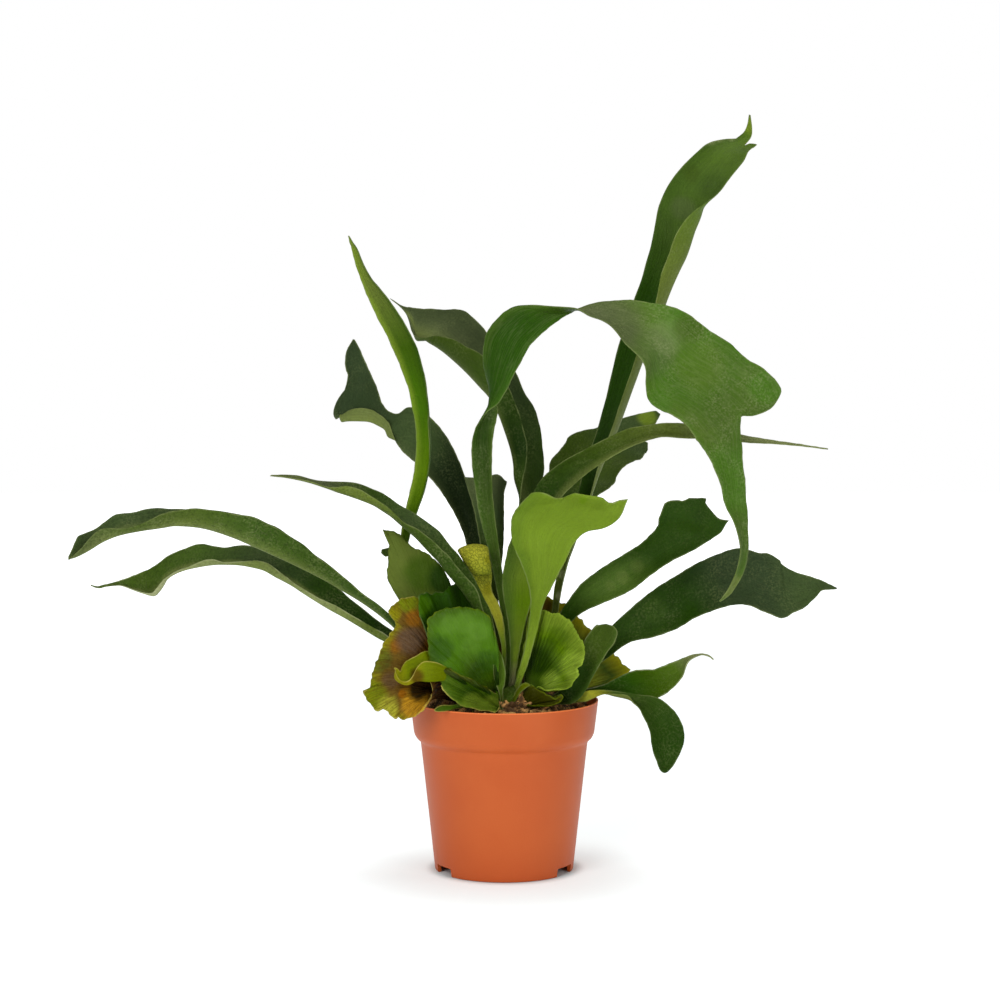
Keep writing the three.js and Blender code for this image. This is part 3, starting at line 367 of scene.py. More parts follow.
            [684, 730, -54.5, 651.5, 741.5, -65, 3.5], [683.5, 742.5, -56, 653.5, 751.5, -66, 3],
            [680, 753.5, -58, 656, 760, -66, 2.5], [674.5, 764.5, -60.5, 659, 768, -66, 2],
            [671.5, 768.3, -62, 659.8, 769.6, -65.6, 1.2], [668.3, 771.4, -63, 661.8, 771.8, -65, 0.6],
            [665.6, 772.8, -64, 664.2, 772.9, -64.5, 0.1],
        ],
    },
    "frond_left_upper": {
        "lean": -55,
        "rows": [
            [462, 690, -20, 466, 696, -16, 1], [435, 662, -23, 440, 668, -17, 2],
            [412, 638, -23, 416, 640, -15, 3], [392, 616.5, -26, 397, 621, -16, 388.5, 621, -21],
            [371, 599.5, -29, 376, 604.5, -17, 365.5, 604, -23],
            [350.5, 583, -30, 356, 588, -16, 341.5, 589.5, -23],
            [330, 566, -31, 335, 570.5, -15, 318.5, 576.5, -23],
            [300, 543, -33, 304, 546.5, -14, 288, 561.5, -24],
            [270, 524, -34, 273, 526, -14, 259, 548.5, -24],
            [240, 514.5, -35, 241, 515, -13, 232.5, 537, -24],
            [208, 509.7, -35, 207, 510.2, -13, 203.5, 528, -24],
            [178, 509.5, -34, 174, 509.5, -14, 177, 525.5, -24],
            [164, 513.5, -33, 160, 508, -14, 164, 527, -24],
            [151, 519.5, -33, 145, 509, -15, 150.5, 528.5, -24],
            [138, 525.3, -32, 130, 512.8, -16, 137.5, 530, -24],
            [125, 527.5, -31, 115, 515.5, -17, 124.5, 532.5, -24],
            [112, 528.2, -30, 104, 522, -18, 112, 537, -24],
            [100, 530, -29, 94, 529.3, -19, 101, 542.5, -24],
            [91, 536.5, -28, 83, 533.8, -21, 91, 548.5, -25],
            [84, 545, -27, 77.5, 537, -22, 82.5, 553, -25], [77, 552.5, -26, 73, 547, -23, 75, 556.5, -25],
            [68.5, 560.3, -25, 68.5, 556.5, -24, 0.2],
        ],
    },
    "frond_left_lower": {
        "lean": 45,
        "rows": [
            [472, 699, -11, 475, 692, -8, 1], [442, 682, -14, 448, 673, -10, 1.5],
            [410, 655, -15, 417, 643, -9, 2], [386, 635, -13, 392, 630, -4, 384, 639.5, -9],
            [370, 625.5, -12.5, 376, 619.3, -2, 368, 630.5, -9],
            [350, 614, -12, 357, 604, 0, 347, 617.5, -8], [330, 603, -11, 338, 588, 2, 327, 606, -7],
            [310, 593, -10.5, 318, 575, 3, 306, 592, -7], [294, 583, -10, 304, 565, 4, 292, 582.5, -6],
            [282, 573.5, -9.5, 290, 556, 5, 277, 575.5, -5], [270, 564, -9, 276, 550.5, 6, 265, 569.5, -4],
            [256, 561, -8.5, 260, 547.5, 6.5, 252.5, 566, -3],
            [240, 561.3, -8, 243, 545, 7, 238.5, 563, -2], [225, 562, -7.5, 226, 548, 7.5, 225, 562.5, -2],
            [213, 559.5, -7, 213, 545.3, 8, 212, 563.5, -1], [200, 562, -7, 200, 543.8, 8, 201, 564.5, -1],
            [186, 567, -6, 184, 549, 8, 186.5, 567, -1], [174, 572.3, -6, 168, 556, 7.5, 174, 571.5, -1],
            [166, 578, -5.5, 155, 565, 7, 166, 577, -1], [161, 583, -5, 148, 569.5, 6, 162.5, 583, 0],
            [156, 588.5, -5, 141, 572.5, 5, 158, 589, 0], [150.5, 593, -4.5, 134, 575.2, 4, 152, 593.5, 0],
            [143, 592.3, -4, 127, 577.8, 3, 140, 590.5, 0],
            [133, 589.3, -3, 120, 580.2, 2, 129.5, 587.5, 0], [122, 585.8, -2, 112, 582.6, 2, 0.4],
            [109, 586.3, -1, 104, 584.6, 1, 0.3], [98, 588.2, 0, 97, 586.2, 1, 0.2],
            [90.8, 585.6, 0, 90.8, 584.6, 1, 0.1],
        ],
    },
    "frond_left_middle": {
        "lean": -40,
        "rows": [
            [497, 690, -20, 503, 690, -18, 1], [497, 662, -24, 501, 662, -21, 1.5],
            [491, 634, -29, 496, 635, -23, 2.5], [484, 612, -32, 491, 614, -23, 478.5, 614.5, -29],
            [478, 593, -34, 484, 597, -23, 467.5, 598, -30], [470, 581, -35, 477, 584, -22, 460, 588, -30],
            [462.5, 572, -36, 470.5, 572, -21, 453, 579.5, -30],
            [456, 565.5, -36, 462.5, 561, -20, 446, 571, -30],
            [448.5, 555.5, -36, 456.5, 552, -19.5, 439, 561.5, -29],
            [441, 549.5, -36, 449.5, 543.7, -19, 432, 554, -29],
            [434.5, 542, -36, 441, 534, -18.5, 424, 545.5, -28],
            [426.5, 534.5, -36, 432, 526, -18, 416, 537, -28],
            [417, 529, -35.5, 422, 518, -17.5, 407.5, 529.5, -27],
            [406, 524, -35, 411, 511, -17, 399, 521.5, -27],
            [397, 516, -35, 400, 504.8, -17, 391, 515, -26],
            [388, 507, -34, 390, 498.8, -17, 382.5, 510, -26],
            [379, 500.5, -34, 380, 492.2, -17, 374.5, 505, -26],
            [369, 495.5, -33, 370, 487.3, -17, 366.5, 501.5, -25],
            [358, 489, -33, 359, 483.7, -17, 356.5, 498, -25],
            [347, 485.8, -32, 348, 482, -17.5, 346, 494.5, -25],
            [337, 487, -31, 337, 482, -18, 336, 491, -25],
            [326, 486.5, -30, 326, 481.5, -18.5, 326, 487, -25],
            [312, 482.5, -29, 312, 479, -19, 312, 482.5, -24],
            [298, 479, -27, 298, 475.8, -20, 298, 479, -24], [284, 476.8, -26, 284, 474.8, -21.5, 0.5],
            [270, 476, -24, 271, 475, -23, 0.2],
        ],
    },
    "frond_small_left": {
        "rows": [
            [454, 695, 7, 458, 695, 7, 0.6], [438, 660, 1, 442, 658, 1, 0.8],
            [415, 610, -2, 420, 607, -2, 0.8], [400, 572, -3, 406, 568, -3, 1],
            [391, 557.5, -3, 393, 549.5, -3, 1], [385, 556.5, -3, 386, 548.5, -3, 0.8],
            [381, 553, -3, 381.5, 549.5, -3, 0.3],
        ],
    },
    "frond_back_centre": {
        "rows": [
            [492, 694, 8, 498, 694, 8, 1], [489, 640, 9, 497, 640, 9, 1.5], [486, 590, 10, 499, 590, 10, 2],
            [481, 550, 11, 503, 550, 10, 3], [476, 520, 12, 504, 520, 10, 3],
            [471, 500, 12, 504, 497, 10, 3], [467, 487, 12, 504.5, 487, 10, 2.5],
        ],
        "end_reach": 6,
        "end": [
            [464, 477, 12], [478, 477.5, 12], [490, 475.8, 11], [496, 474, 10], [501, 476, 9],
            [504, 479.5, 8], [507, 481.5, 8],
        ],
    },
    "shield_curl": {
        "rows": [
            [484, 690, -16, 481, 684, -15, 0.6], [470, 681, -30, 468, 676, -29, 1],
            [456, 672, -40, 454, 667, -38, 1.5], [445, 666, -50, 443, 660, -44, 446, 679, -46],
            [437, 663, -56, 436, 654, -46, 438, 680.5, -52],
            [430, 661.5, -60, 429, 651, -48, 430, 681, -57],
            [423, 661.5, -62, 422, 652, -51, 422, 680.5, -60],
            [417, 667, -63, 416, 656, -53, 416, 680.5, -61],
            [413, 675, -64, 410, 659, -54, 412, 681.5, -62],
            [409, 680, -65, 405.5, 662, -56, 408, 682.5, -63],
            [404, 681.5, -65.5, 402, 667, -58, 403.5, 682.5, -64],
            [399.5, 679, -65.5, 400.5, 671, -61, 398, 680.5, -64],
            [396.5, 674, -64.5, 398, 669, -62, 395, 677, -64], [395, 670, -63, 396.5, 668, -62, 0.3],
            [394, 668, -62, 394.5, 667.5, -62, 0.2],
        ],
    },
    "young_frond": {
        "columns": 24,
        "rows": [
            [500, 680, -14, 504, 680, -14, 0.8], [502, 650, -15, 506, 650, -14, 1],
            [496, 625, -15, 503.5, 622, -14, 1.2], [489, 608, -15.5, 499, 605, -13.5, 1.5],
            [479, 592, -16, 492, 591, -13, 2], [473, 579.5, -17, 492, 578.5, -13, 2.5],
            [466.5, 568, -17.5, 491.5, 568, -13, 3], [461.5, 557, -17.5, 489.5, 557, -13, 3.5],
            [458, 552, -18, 488, 549, -13.5, 3], [458, 549.8, -20, 487.5, 546.5, -16, 472, 544.8, -19],
            [459.5, 552, -23, 488, 549, -20, 473, 549, -26],
            [462.5, 557.5, -24, 489, 556, -21.5, 476, 558, -28],
            [467, 565, -24, 490.5, 564, -21.5, 479, 568, -27],
            [470, 571, -22.5, 491, 571, -20.5, 480.5, 573.5, -25],
            [472.5, 575, -21.5, 489.5, 574.5, -20, 1.2],
        ],
    },
}

# A round leaf is its heart, how far its middle bulges towards the viewer and upwards, and its margin.
# waves_of holds what is its own of SHIELD_WAVES.
ROUND_LEAVES = {
    "shield_upper_left": {
        "heart": [462, 692, -1],
        "rise": 4,
        "lift": 0,
        "margin": [
            [430, 648, -4], [415, 622, -7], [400, 600, -9], [398.5, 594, -9.5], [397, 590, -10],
            [391.5, 585.5, -10], [388, 580, -10], [387, 572, -10], [388, 562, -10], [388.5, 550, -10],
            [390.5, 540, -10], [390, 534.5, -10], [383, 529.8, -10], [391, 530.8, -10], [398.5, 533.3, -10],
            [402.5, 537.5, -10], [409, 544, -10], [416, 548.7, -10], [425, 552, -10], [434, 559, -11],
            [442, 567, -11], [447, 576, -11], [453, 590, -11], [466, 630, -8],
        ],
        "waves_of": {"rib": 0.08, "ruffle": 0.6},
    },
    "shield_drape_left": {
        "heart": [458, 697, -23],
        "rise": 8,
        "lift": 9,
        "margin": [
            [440, 625, -30], [425, 602, -32], [412, 597, -33], [400, 599.5, -34], [393, 605, -35],
            [388.5, 610, -36], [392, 617, -36.5], [395.5, 625, -37.5], [389, 635, -39], [384, 643, -40],
            [380, 652, -41], [375, 665, -43], [371.5, 678, -45], [370, 687, -47], [363, 691, -48],
            [366, 698, -49.5], [372, 706, -50.5], [377, 711.5, -52], [380, 708.5, -52.5], [385, 710, -53],
            [390, 714.5, -54], [395, 719, -55], [398.5, 716.5, -55], [402, 720, -56], [408, 718.3, -56.5],
            [415, 716.5, -57], [424, 709, -57], [430, 700, -55.5], [432, 690, -53], [430, 681, -50],
        ],
    },
    "shield_front_left": {
        "heart": [499, 697, -20],
        "rise": 5,
        "lift": 0,
        "waves_of": {"rib": 0.05, "rib_length": 6.5, "ruffle": 1.1},
        "margin": [
            [500, 692, -24], [495, 681, -29], [493.5, 669, -33], [495.5, 655, -36], [497.5, 647, -38],
            [494, 630, -41], [489, 617.5, -43], [482, 610.8, -45], [471, 608, -46], [460, 606.7, -47],
            [450, 607.8, -47.5], [440, 610, -48], [432, 615, -49], [427, 620.5, -49.5], [427.5, 630, -50.5],
            [428, 642, -51.5], [428, 652, -52], [431.5, 663, -52.5], [441, 668, -51], [450, 669, -50],
            [460, 674.5, -48], [470, 678, -46], [480, 683.5, -42], [490, 690, -34],
        ],
    },
    "shield_middle_left": {
        "heart": [476, 692, -16],
        "rise": 4,
        "lift": 0,
        "margin": [
            [428, 640, -44], [421, 618, -43], [418, 606, -42], [419.5, 595, -39], [427, 592.3, -35],
            [432, 593.8, -32], [438, 591.3, -28], [443, 592.3, -28], [448, 588, -28], [455, 584, -20],
            [463, 590, -17], [472, 600, -16], [478, 615, -16], [482, 645, -16],
        ],
    },
    "shield_front_right": {
        "heart": [526, 690, -14],
        "rise": -5,
        "lift": 0,
        "waves_of": {"rib": 0.45, "jag": 0.35, "jag_length": 4},
        "margin": [
            [523, 655, -12], [526, 632, -14], [531, 611, -17], [540, 609.5, -22], [547, 611.5, -27],
            [553, 613.3, -30], [559, 613, -33], [565, 617, -34.5], [569.5, 620.5, -35.5], [573, 627, -36.5],
            [577.5, 632, -37], [580, 637.5, -37.5], [583.5, 643, -38.5], [584.5, 651, -39],
            [583, 659, -39.5], [582.5, 665, -40], [578.5, 668, -40.5], [578.8, 674, -41], [574, 680, -41.5],
            [571, 686, -42], [564, 689.3, -42], [556, 690.3, -41], [548, 689.5, -38.5], [540, 687, -34],
            [536.5, 688.5, -31], [531, 684, -26],
        ],
    },
    "shield_low_left": {
        "heart": [500, 703, -27],
        "rise": 2,
        "lift": 0,
        "margin": [
            [498, 694, -29], [490, 690.5, -35], [480, 684.5, -40], [470, 679.5, -43.5], [460, 675.5, -46],
            [450, 670.5, -48], [440, 669.5, -49.5], [435.5, 674, -50], [436.5, 680, -50.5],
            [441.5, 687.5, -51], [447, 694, -51], [452.5, 700, -51], [459, 704.5, -50], [470, 707.5, -48],
            [480, 710.5, -45], [488, 711.5, -42], [496, 711, -38], [499, 707, -33],
        ],
    },
    "shield_low_right": {
        "heart": [521, 700, -17],
        "rise": 2,
        "lift": 0,
        "margin": [
            [524, 686, -24], [532, 686, -30], [541, 691, -34], [548, 695, -36], [556, 698.5, -37],
            [561, 694, -38], [563, 698, -38], [556, 704, -38], [546, 706, -36], [536, 706, -34],
            [528, 704, -30],
        ],
    },
    "shield_back_right": {
        "heart": [540, 694, 7],
        "rise": -1,
        "lift": 0,
        "margin": [
            [530, 640, 10], [533, 612, 11], [540, 600, 12], [548, 597, 12], [557, 602, 12], [566, 604, 12],
            [575, 614, 11], [582, 620, 11], [586, 626, 11], [592, 630, 11], [597, 625, 11], [603, 628, 11],
            [608, 640, 11], [613, 652, 11], [619, 658, 12], [624, 665, 12], [629, 668, 12], [630, 671, 12],
            [618, 680, 12], [598, 687, 10],
        ],
    },
    "shield_back_left": {
        "heart": [478, 694, 16],
        "rise": -6,
        "lift": 6,
        "margin": [
            [462, 688, 44], [432, 678, 50], [415, 660, 47], [412, 638, 41], [425, 615, 35], [447, 602, 32],
            [465, 606, 30], [478, 622, 28], [490, 650, 24],
        ],
    },
    "shield_back_middle": {
        "heart": [508, 694, 18],
        "rise": -6,
        "lift": 6,
        "margin": [
            [492, 660, 26], [488, 632, 33], [500, 612, 38], [520, 605, 42], [542, 612, 46], [560, 630, 50],
            [572, 652, 53], [568, 672, 54], [550, 684, 52], [528, 690, 44],
        ],
    },
}

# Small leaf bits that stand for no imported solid.
SCRAPS = {
    "crown_foot": {
        "rows": [
            [499, 707, -25, 509, 707, -25, 2], [498, 700, -27, 512, 700, -27, 3],
            [499.5, 694, -27, 514.5, 693, -25, 3], [503, 690, -26, 515.5, 688, -24, 2],
            [508, 686, -22, 513, 685, -22, 0.6],
        ],
    },
    "pale_sheath": {
        "rows": [
            [500, 700, -27, 503, 700, -27, 0.5], [498.5, 691.5, -31, 503, 690, -31, 1],
            [495.5, 683, -33, 505, 683, -32, 2], [493.5, 672, -35, 505.5, 672, -33, 2.5],
            [494, 661, -37, 503.5, 661, -34, 2], [496, 653, -38, 501.5, 655, -36, 1],
            [497.5, 649, -38, 498.5, 649.5, -38, 0.3],
        ],
    },
    "green_strip": {
        "rows": [
            [506, 705, -24, 514, 705, -24, 0.8], [512.5, 698, -26, 517.5, 697.5, -26, 1],
            [516, 690.5, -28, 521.5, 692, -28, 1], [521, 684.5, -30, 527, 687.5, -30, 0.8],
            [526, 682.5, -31, 531, 685.5, -31, 0.5],
        ],
    },
    "green_tip": {
        "rows": [
            [472, 704, -40, 472, 708, -40, 0.5], [460, 704, -46, 460, 708, -46, 0.6],
            [452, 705, -51, 450, 710, -51, 0.8], [444, 705, -53.5, 443, 711.5, -53.5, 0.8],
            [438, 706.5, -54.5, 438, 711.5, -54.5, 0.6], [434, 710, -55, 434.5, 711, -55, 0.3],
        ],
    },
    "pale_tip": {
        "rows": [
            [570, 690, -10, 576, 692, -10, 1], [580, 665, -20, 590, 668, -20, 1],
            [588, 642, -24, 600, 646, -24, 1], [592, 630, -25, 605, 634, -25, 1],
            [597, 624.5, -25, 603, 627, -25, 0.5],
        ],
    },
}


def in_view(points):
    """Points of the picture, as [across, down, depth], in the frame."""
    points = np.atleast_2d(np.array(points, float))
    right = (points[:, 0] - PICTURE / 2) / FOCAL
    up = (PICTURE / 2 - points[:, 1]) / FOCAL
    sin, cos = math.sin(LOOK_DOWN), math.cos(LOOK_DOWN)
    ray = np.stack([right, cos + up * sin, -sin + up * cos], axis=1)
    reach = (points[:, 2] * MM - EYE[1]) / ray[:, 1]
    return EYE + ray * reach[:, None] + AXIS


def smooth(values, t):
    """Values at parameters t, from 0 to the last index, on a smooth curve through the given ones."""
    values = np.array(values, float)
    last = len(values) - 1
    ends = [2 * values[0] - values[1], 2 * values[-1] - values[-2]]
    padded = np.concatenate([[ends[0]], values, [ends[1]]])
    i = np.minimum(np.floor(t).astype(int), last - 1)
    f = t - i
    if values.ndim > 1:
        f = f[:, None]
    a, b, c, d = (padded[i + k] for k in range(4))
    curve = (2 * a - 5 * b + 4 * c - d) * f**2 + (3 * b - a - 3 * c + d) * f**3
    return 0.5 * (2 * b + (c - a) * f + curve)


def ease(value, low, high):
    """0 below low, 1 above high and smooth between them."""
    t = np.clip((value - low) / (high - low), 0, 1)
    return t * t * (3 - 2 * t)


def unit(vectors):
    """The vectors at length 1. One that is too short to have a direction stays about zero."""
    shortest = 1e-12
    return vectors / np.maximum(np.linalg.norm(vectors, axis=-1, keepdims=True), shortest)


def distance_along(line):
    """How far each point of a line lies from its first one."""
    return np.concatenate([[0], np.cumsum(np.linalg.norm(np.diff(line, axis=0), axis=1))])


def waves(place, length, phase):
    """A wandering wave between about -1 and 1, along a distance: a slow wave and a quicker one."""
    slow, quick, quickness, shift = 0.6, 0.4, 1.73, 2.1
    turns = place / length * 2 * math.pi
    return slow * np.sin(turns + phase) + quick * np.sin(quickness * turns + shift * phase)


def phase_of(name, step, count):
    """Where a leaf's waves start, so that leaves don't swing alike."""
    return step * (sum(map(ord, name)) % count)


def ribbon(first, second, keel, s, ruffle, phase):
    """The grid of points of one long leaf, crossed by parabolas from edge to edge, and its length so far."""
    length = distance_along((first + second) / 2)[-1]
    steps = max(int(math.ceil(length / ROW_STEP)), 2 * (len(first) - 1))
    t = np.linspace(0, len(first) - 1, steps + 1)
    a, b, low = smooth(first, t), smooth(second, t), smooth(keel, t)
    middle = (a + b) / 2
    across = unit(b - a)
    upper = unit(np.cross(b - a, np.gradient(middle, axis=0)))
    run = distance_along(middle)
    share = (s[None, :, None] + 1) / 2
    grid = a[:, None] * (1 - share) + b[:, None] * share
    grid = grid + (low - middle)[:, None] * (1 - s**2)[None, :, None]

    side = np.sign(s)[None, :]
    fullness = np.minimum(np.linalg.norm(b - a, axis=1) / RUFFLE_WIDTH, 1)[:, None]
    swell = waves(run[:, None] + SIDE_SHIFT * side * RUFFLE_LENGTH, RUFFLE_LENGTH, phase + side)
    lift = ruffle * RUFFLE * fullness * swell * np.abs(s) ** RUFFLE_POWER
    jag = ruffle * JAG * waves(run[:, None], JAG_LENGTH, 3 * phase + 2 * side) * side * s**JAG_POWER
    grid = grid + upper[:, None] * lift[..., None] + across[:, None] * jag[..., None]
    return grid, run


def placed(name, mesh):
    """A smooth piece with this mesh, in the scene."""
    mesh.shade_smooth()
    mesh.update()
    piece = bpy.data.objects.new(name, mesh)
    bpy.context.scene.collection.objects.link(piece)
    return piece


def piece_of(name, points, faces):
    """A smooth piece with these points and faces, in the scene."""
    mesh = bpy.data.meshes.new(name)
    mesh.from_pydata(points, [], faces)
    return placed(name, mesh)


def mesh_from(name, shape):
    """The mesh of a worked shape, which is used up."""
    mesh = bpy.data.meshes.new(name)
    shape.to_mesh(mesh)
    shape.free()
    return mesh


class Sheet:
    """Grids of points, welded where they meet, that become one thin closed leaf."""

    def __init__(self):
        self.points = []
        self.facts = []
        self.faces = []
        self.index = {}

    def place(self, point, facts):
        key = tuple(round(c * WELDS_PER_METRE) for c in point)
        if key not in self.index:
            self.index[key] = len(self.points)
            self.points.append(point)
            self.facts.append(facts)
        return self.index[key]

    def grid(self, points, across, along, share):
        """across, along and share hold values for the columns, for the rows or for each point."""
        rows, columns = points.shape[:2]
        facts = np.stack([np.broadcast_to(fact, (rows, columns)) for fact in (across, along, share)], axis=2)
        at = [[self.place(points[i, j], facts[i, j]) for j in range(columns)] for i in range(rows)]
        for i in range(rows - 1):
            for j in range(columns - 1):
                corners = [at[i][j], at[i][j + 1], at[i + 1][j + 1], at[i + 1][j]]
                kept = [c for k, c in enumerate(corners) if c != corners[k - 1]]
                if len(set(kept)) == len(kept) and len(kept) > 2:
                    self.faces.append(kept)

    def boundary(self):
        directed = {(f[k - 1], f[k]) for f in self.faces for k in range(len(f))}
        return [(p, q) for p, q in directed if (q, p) not in directed]

    def normals(self, points):
        normals = np.zeros_like(points)
        for face in self.faces:
            corners = points[face]
            normals[face] += np.cross(corners[2] - corners[0], corners[-1] - corners[1])
        return unit(normals)

    def margin_distance(self, points, boundary):
        rim = sorted({p for edge in boundary for p in edge})
        tree = KDTree(len(rim))
        for k, p in enumerate(rim):
            tree.insert(points[p], k)
        tree.balance()
        return np.array([tree.find(point)[2] for point in points])

    def leaf(self, name, stalk, blade, slope):
        """The closed leaf with the thickness of its stalk and of its blade, thin at its margin."""
        points = np.array(self.points)
        boundary = self.boundary()
        edge = self.margin_distance(points, boundary)
        across, along, share = np.array(self.facts).T
        full = stalk + (blade - stalk) * ease(share, STALK_START, STALK_SHARE)
        thickness = MARGIN_THICKNESS + (full - MARGIN_THICKNESS) * ease(edge, 0, slope * full)
        offset = self.normals(points) * (thickness / 2)[:, None]
        count = len(points)
        faces = [list(f) for f in self.faces]
        faces += [[count + p for p in reversed(f)] for f in self.faces]
        faces += [[q, p, count + p, count + q] for p, q in boundary]
        piece = piece_of(name, np.concatenate([points + offset, points - offset]).tolist(), faces)
        facts = {"across": across, "along": along, "share": share, "margin": edge}
        facts = {fact: np.tile(values, 2) for fact, values in facts.items()}
        facts["upper"] = np.repeat([1.0, 0.0], count)
        for fact, values in facts.items():
            attribute = piece.data.attributes.new(fact, "FLOAT", "POINT")
            attribute.data.foreach_set("value", values.astype(np.float32))
        return piece


def columns_of(low, high, count):
    """Columns that lie closer together towards the two edges."""
    turn = np.linspace(-math.pi / 2, math.pi / 2, count + 1)
    return low + (high - low) * (np.sin(turn) + 1) / 2


def read_rows(rows, lean):
    """The two edges and the keel of a leaf in the frame."""
    lean = np.broadcast_to(lean, len(rows))
    first = in_view([[row[0], row[1], row[2] + back] for row, back in zip(rows, lean)])
    second = in_view([[row[3], row[4], row[5] + back] for row, back in zip(rows, lean)])
    keel = (first + second) / 2
    upper = unit(np.cross(second - first, np.gradient(keel, axis=0)))
    for i, row in enumerate(rows):
        if len(row) == CHANNEL_ROW:
            keel[i] -= upper[i] * row[6] * MM
        else:
            keel[i] = in_view([row[6], row[7], row[8] + lean[i]])[0]
    return first, second, keel


def along_outline(outline, shares):
    """Points of a smooth outline at shares of its length."""
    fine = smooth(outline, np.linspace(0, len(outline) - 1, OUTLINE_STEPS * len(outline)))
    run = distance_along(fine)
    return np.stack([np.interp(shares, run / run[-1], fine[:, k]) for k in range(3)], axis=1)


def lobe_grid(start, rows, lean, s, ruffle, phase):
    """A lobe that goes on from half of the last row of its leaf."""
    a, b, keel = read_rows(rows, lean)
    a = np.concatenate([start[:1], a])
    b = np.concatenate([start[-1:], b])
    keel = np.concatenate([[start[len(start) // 2]], keel])
    grid, run = ribbon(a, b, keel, np.interp(s, [s[0], s[-1]], [-1, 1]), ruffle, phase + 1)
    keep = (1 - np.arange(len(grid)) / (len(grid) - 1)) ** 2
    return grid + (start - grid[0])[None] * keep[:, None, None], run


def long_leaf(name, rows, lean=0, end=(), end_reach=8, lobes=(), columns=COLUMNS, ruffle=1.0):
    phase = phase_of(name, *LONG_PHASES)
    lines = read_rows(rows, lean * (np.arange(len(rows)) / (len(rows) - 1)) ** 2)
    first, second, keel = (np.concatenate([[line[0] - ROOT], line]) for line in lines)
    s = columns_of(-1, 1, columns)
    trunk, run = ribbon(first, second, keel, s, ruffle, phase)
    total = run[-1]
    if len(end):
        outline = in_view(np.array(end) + [0, 0, lean])
        pull = along_outline(outline, (s + 1) / 2) - trunk[-1]
        trunk = trunk + pull[None] * ease(run, total - end_reach * MM, total)[:, None, None]
    sheet = Sheet()
    sheet.grid(trunk, s[None, :], run[:, None], (run / total)[:, None])
    half = columns // 2
    for lobe_rows, part in zip(lobes, (slice(half + 1), slice(half, None))):
        if lobe_rows:
            grid, lobe_run = lobe_grid(trunk[-1, part], lobe_rows, lean, s[part], ruffle, phase)
            sheet.grid(grid, s[None, part], (total + lobe_run)[:, None], 1.0)
    return sheet.leaf(name, STALK_THICKNESS, BLADE_THICKNESS, BLADE_SLOPE)


def round_leaf(name, heart, rise, lift, margin, waves_of=()):
    phase = phase_of(name, *ROUND_PHASES)
    wave = {key: size * MM for key, size in {**SHIELD_WAVES, **dict(waves_of)}.items()}
    centre = in_view(heart)[0] - ROOT / 2
    edge = in_view(margin)
    outer = smooth(edge, np.linspace(0, len(edge) - 1, (len(edge) - 1) * SHIELD_STEPS + 1))
    run = distance_along(outer)
    fade = ease(run, 0, FADE) * ease(run[-1] - run, 0, FADE)
    jag = wave["jag"] * waves(run, wave["jag_length"], phase) * fade
    outer = outer + unit(outer - centre) * jag[:, None]
    share = np.linspace(0, 1, SHIELD_RINGS + 1) ** RING_SPREAD
    swell = 4 * share * (1 - share)
    grid = centre + (outer - centre)[None] * share[:, None, None]
    grid = grid + swell[:, None, None] * np.array([0, -rise * MM, lift * MM])

    normal = unit(np.cross(np.gradient(grid, axis=1), np.gradient(grid, axis=0)))
    ribs = wave["rib"] * np.sin(run / wave["rib_length"] * 2 * math.pi + phase)
    ruffle = wave["ruffle"] * waves(run, wave["ruffle_length"], phase) * fade
    relief = ribs[None, :] * (share * (1 - share) * RIB_SWELL)[:, None]
    relief = relief + ruffle[None, :] * (share**SHIELD_RUFFLE_POWER)[:, None]
    grid = grid + normal * relief[..., None]
    sheet = Sheet()
    radius = np.linalg.norm(outer - centre, axis=1)
    sheet.grid(grid, (run / run[-1])[None, :], share[:, None] * radius[None, :], share[:, None])
    return sheet.leaf(name, SHIELD_THICKNESS, SHIELD_THICKNESS, SHIELD_SLOPE)


# How the colours look in the studio's light. The base colours are worked out from them.
PAINT = {
    "soot": (16, 10, 4),
    "bark": (26, 14, 7),
    "umber": (74, 48, 14),
    "tan": (114, 82, 42),
    "ash": (90, 70, 54),
    "husk": (96, 74, 30),
    "rust": (138, 84, 16),
    "amber": (174, 127, 32),
    "straw": (178, 164, 84),
    "bronze": (58, 60, 9),
    "mustard": (126, 122, 22),
    "citrus": (100, 112, 10),
    "gold": (158, 156, 50),
    "pollen": (178, 176, 60),
    "fuzz": (120, 128, 38),
    "ink": (31, 41, 24),
    "iron": (48, 60, 38),
    "night": (28, 44, 6),
    "deep": (35, 57, 9),
    "bottle": (40, 68, 8),
    "forest": (42, 63, 23),
    "pine": (49, 68, 25),
    "moss": (58, 75, 26),
    "slate": (61, 76, 43),
    "stone": (76, 85, 54),
    "glade": (55, 79, 17),
    "emerald": (64, 98, 30),
    "leaf": (66, 88, 34),
    "grass": (76, 100, 31),
    "vivid": (65, 100, 8),
    "fresh": (88, 117, 20),
    "bright": (86, 120, 40),
    "apple": (100, 122, 36),
    "lime": (111, 131, 41),
    "pale_lime": (122, 145, 46),
    "olive": (90, 103, 43),
    "sage": (102, 113, 58),
    "pale_sage": (124, 132, 84),
    "felt": (150, 154, 112),
    "glow": (172, 198, 74),
    "cream": (196, 190, 140),
}
STUDIO_LIGHT = 0.92
HAZE = 0.006
WHITE = (1, 1, 1, 1)

# A spot reaches so many times deeper than wide. Its border wanders by a share of its radius, and it is
# full inside its core. A seam is as wide as a share of its cell.
SPOT_DEPTH = 4
SPOT_NOISE = 0.6
SPOT_WANDER = 0.35
SPOT_CORE = 0.45
SEAM_WIDTH = 0.13


def linear(red_green_blue):
    """Red, green and blue up to 255 as amounts of light up to 1."""
    channels = [c / 255 for c in red_green_blue]
    return [c / 12.92 if c <= 0.04045 else ((c + 0.055) / 1.055) ** 2.4 for c in channels]


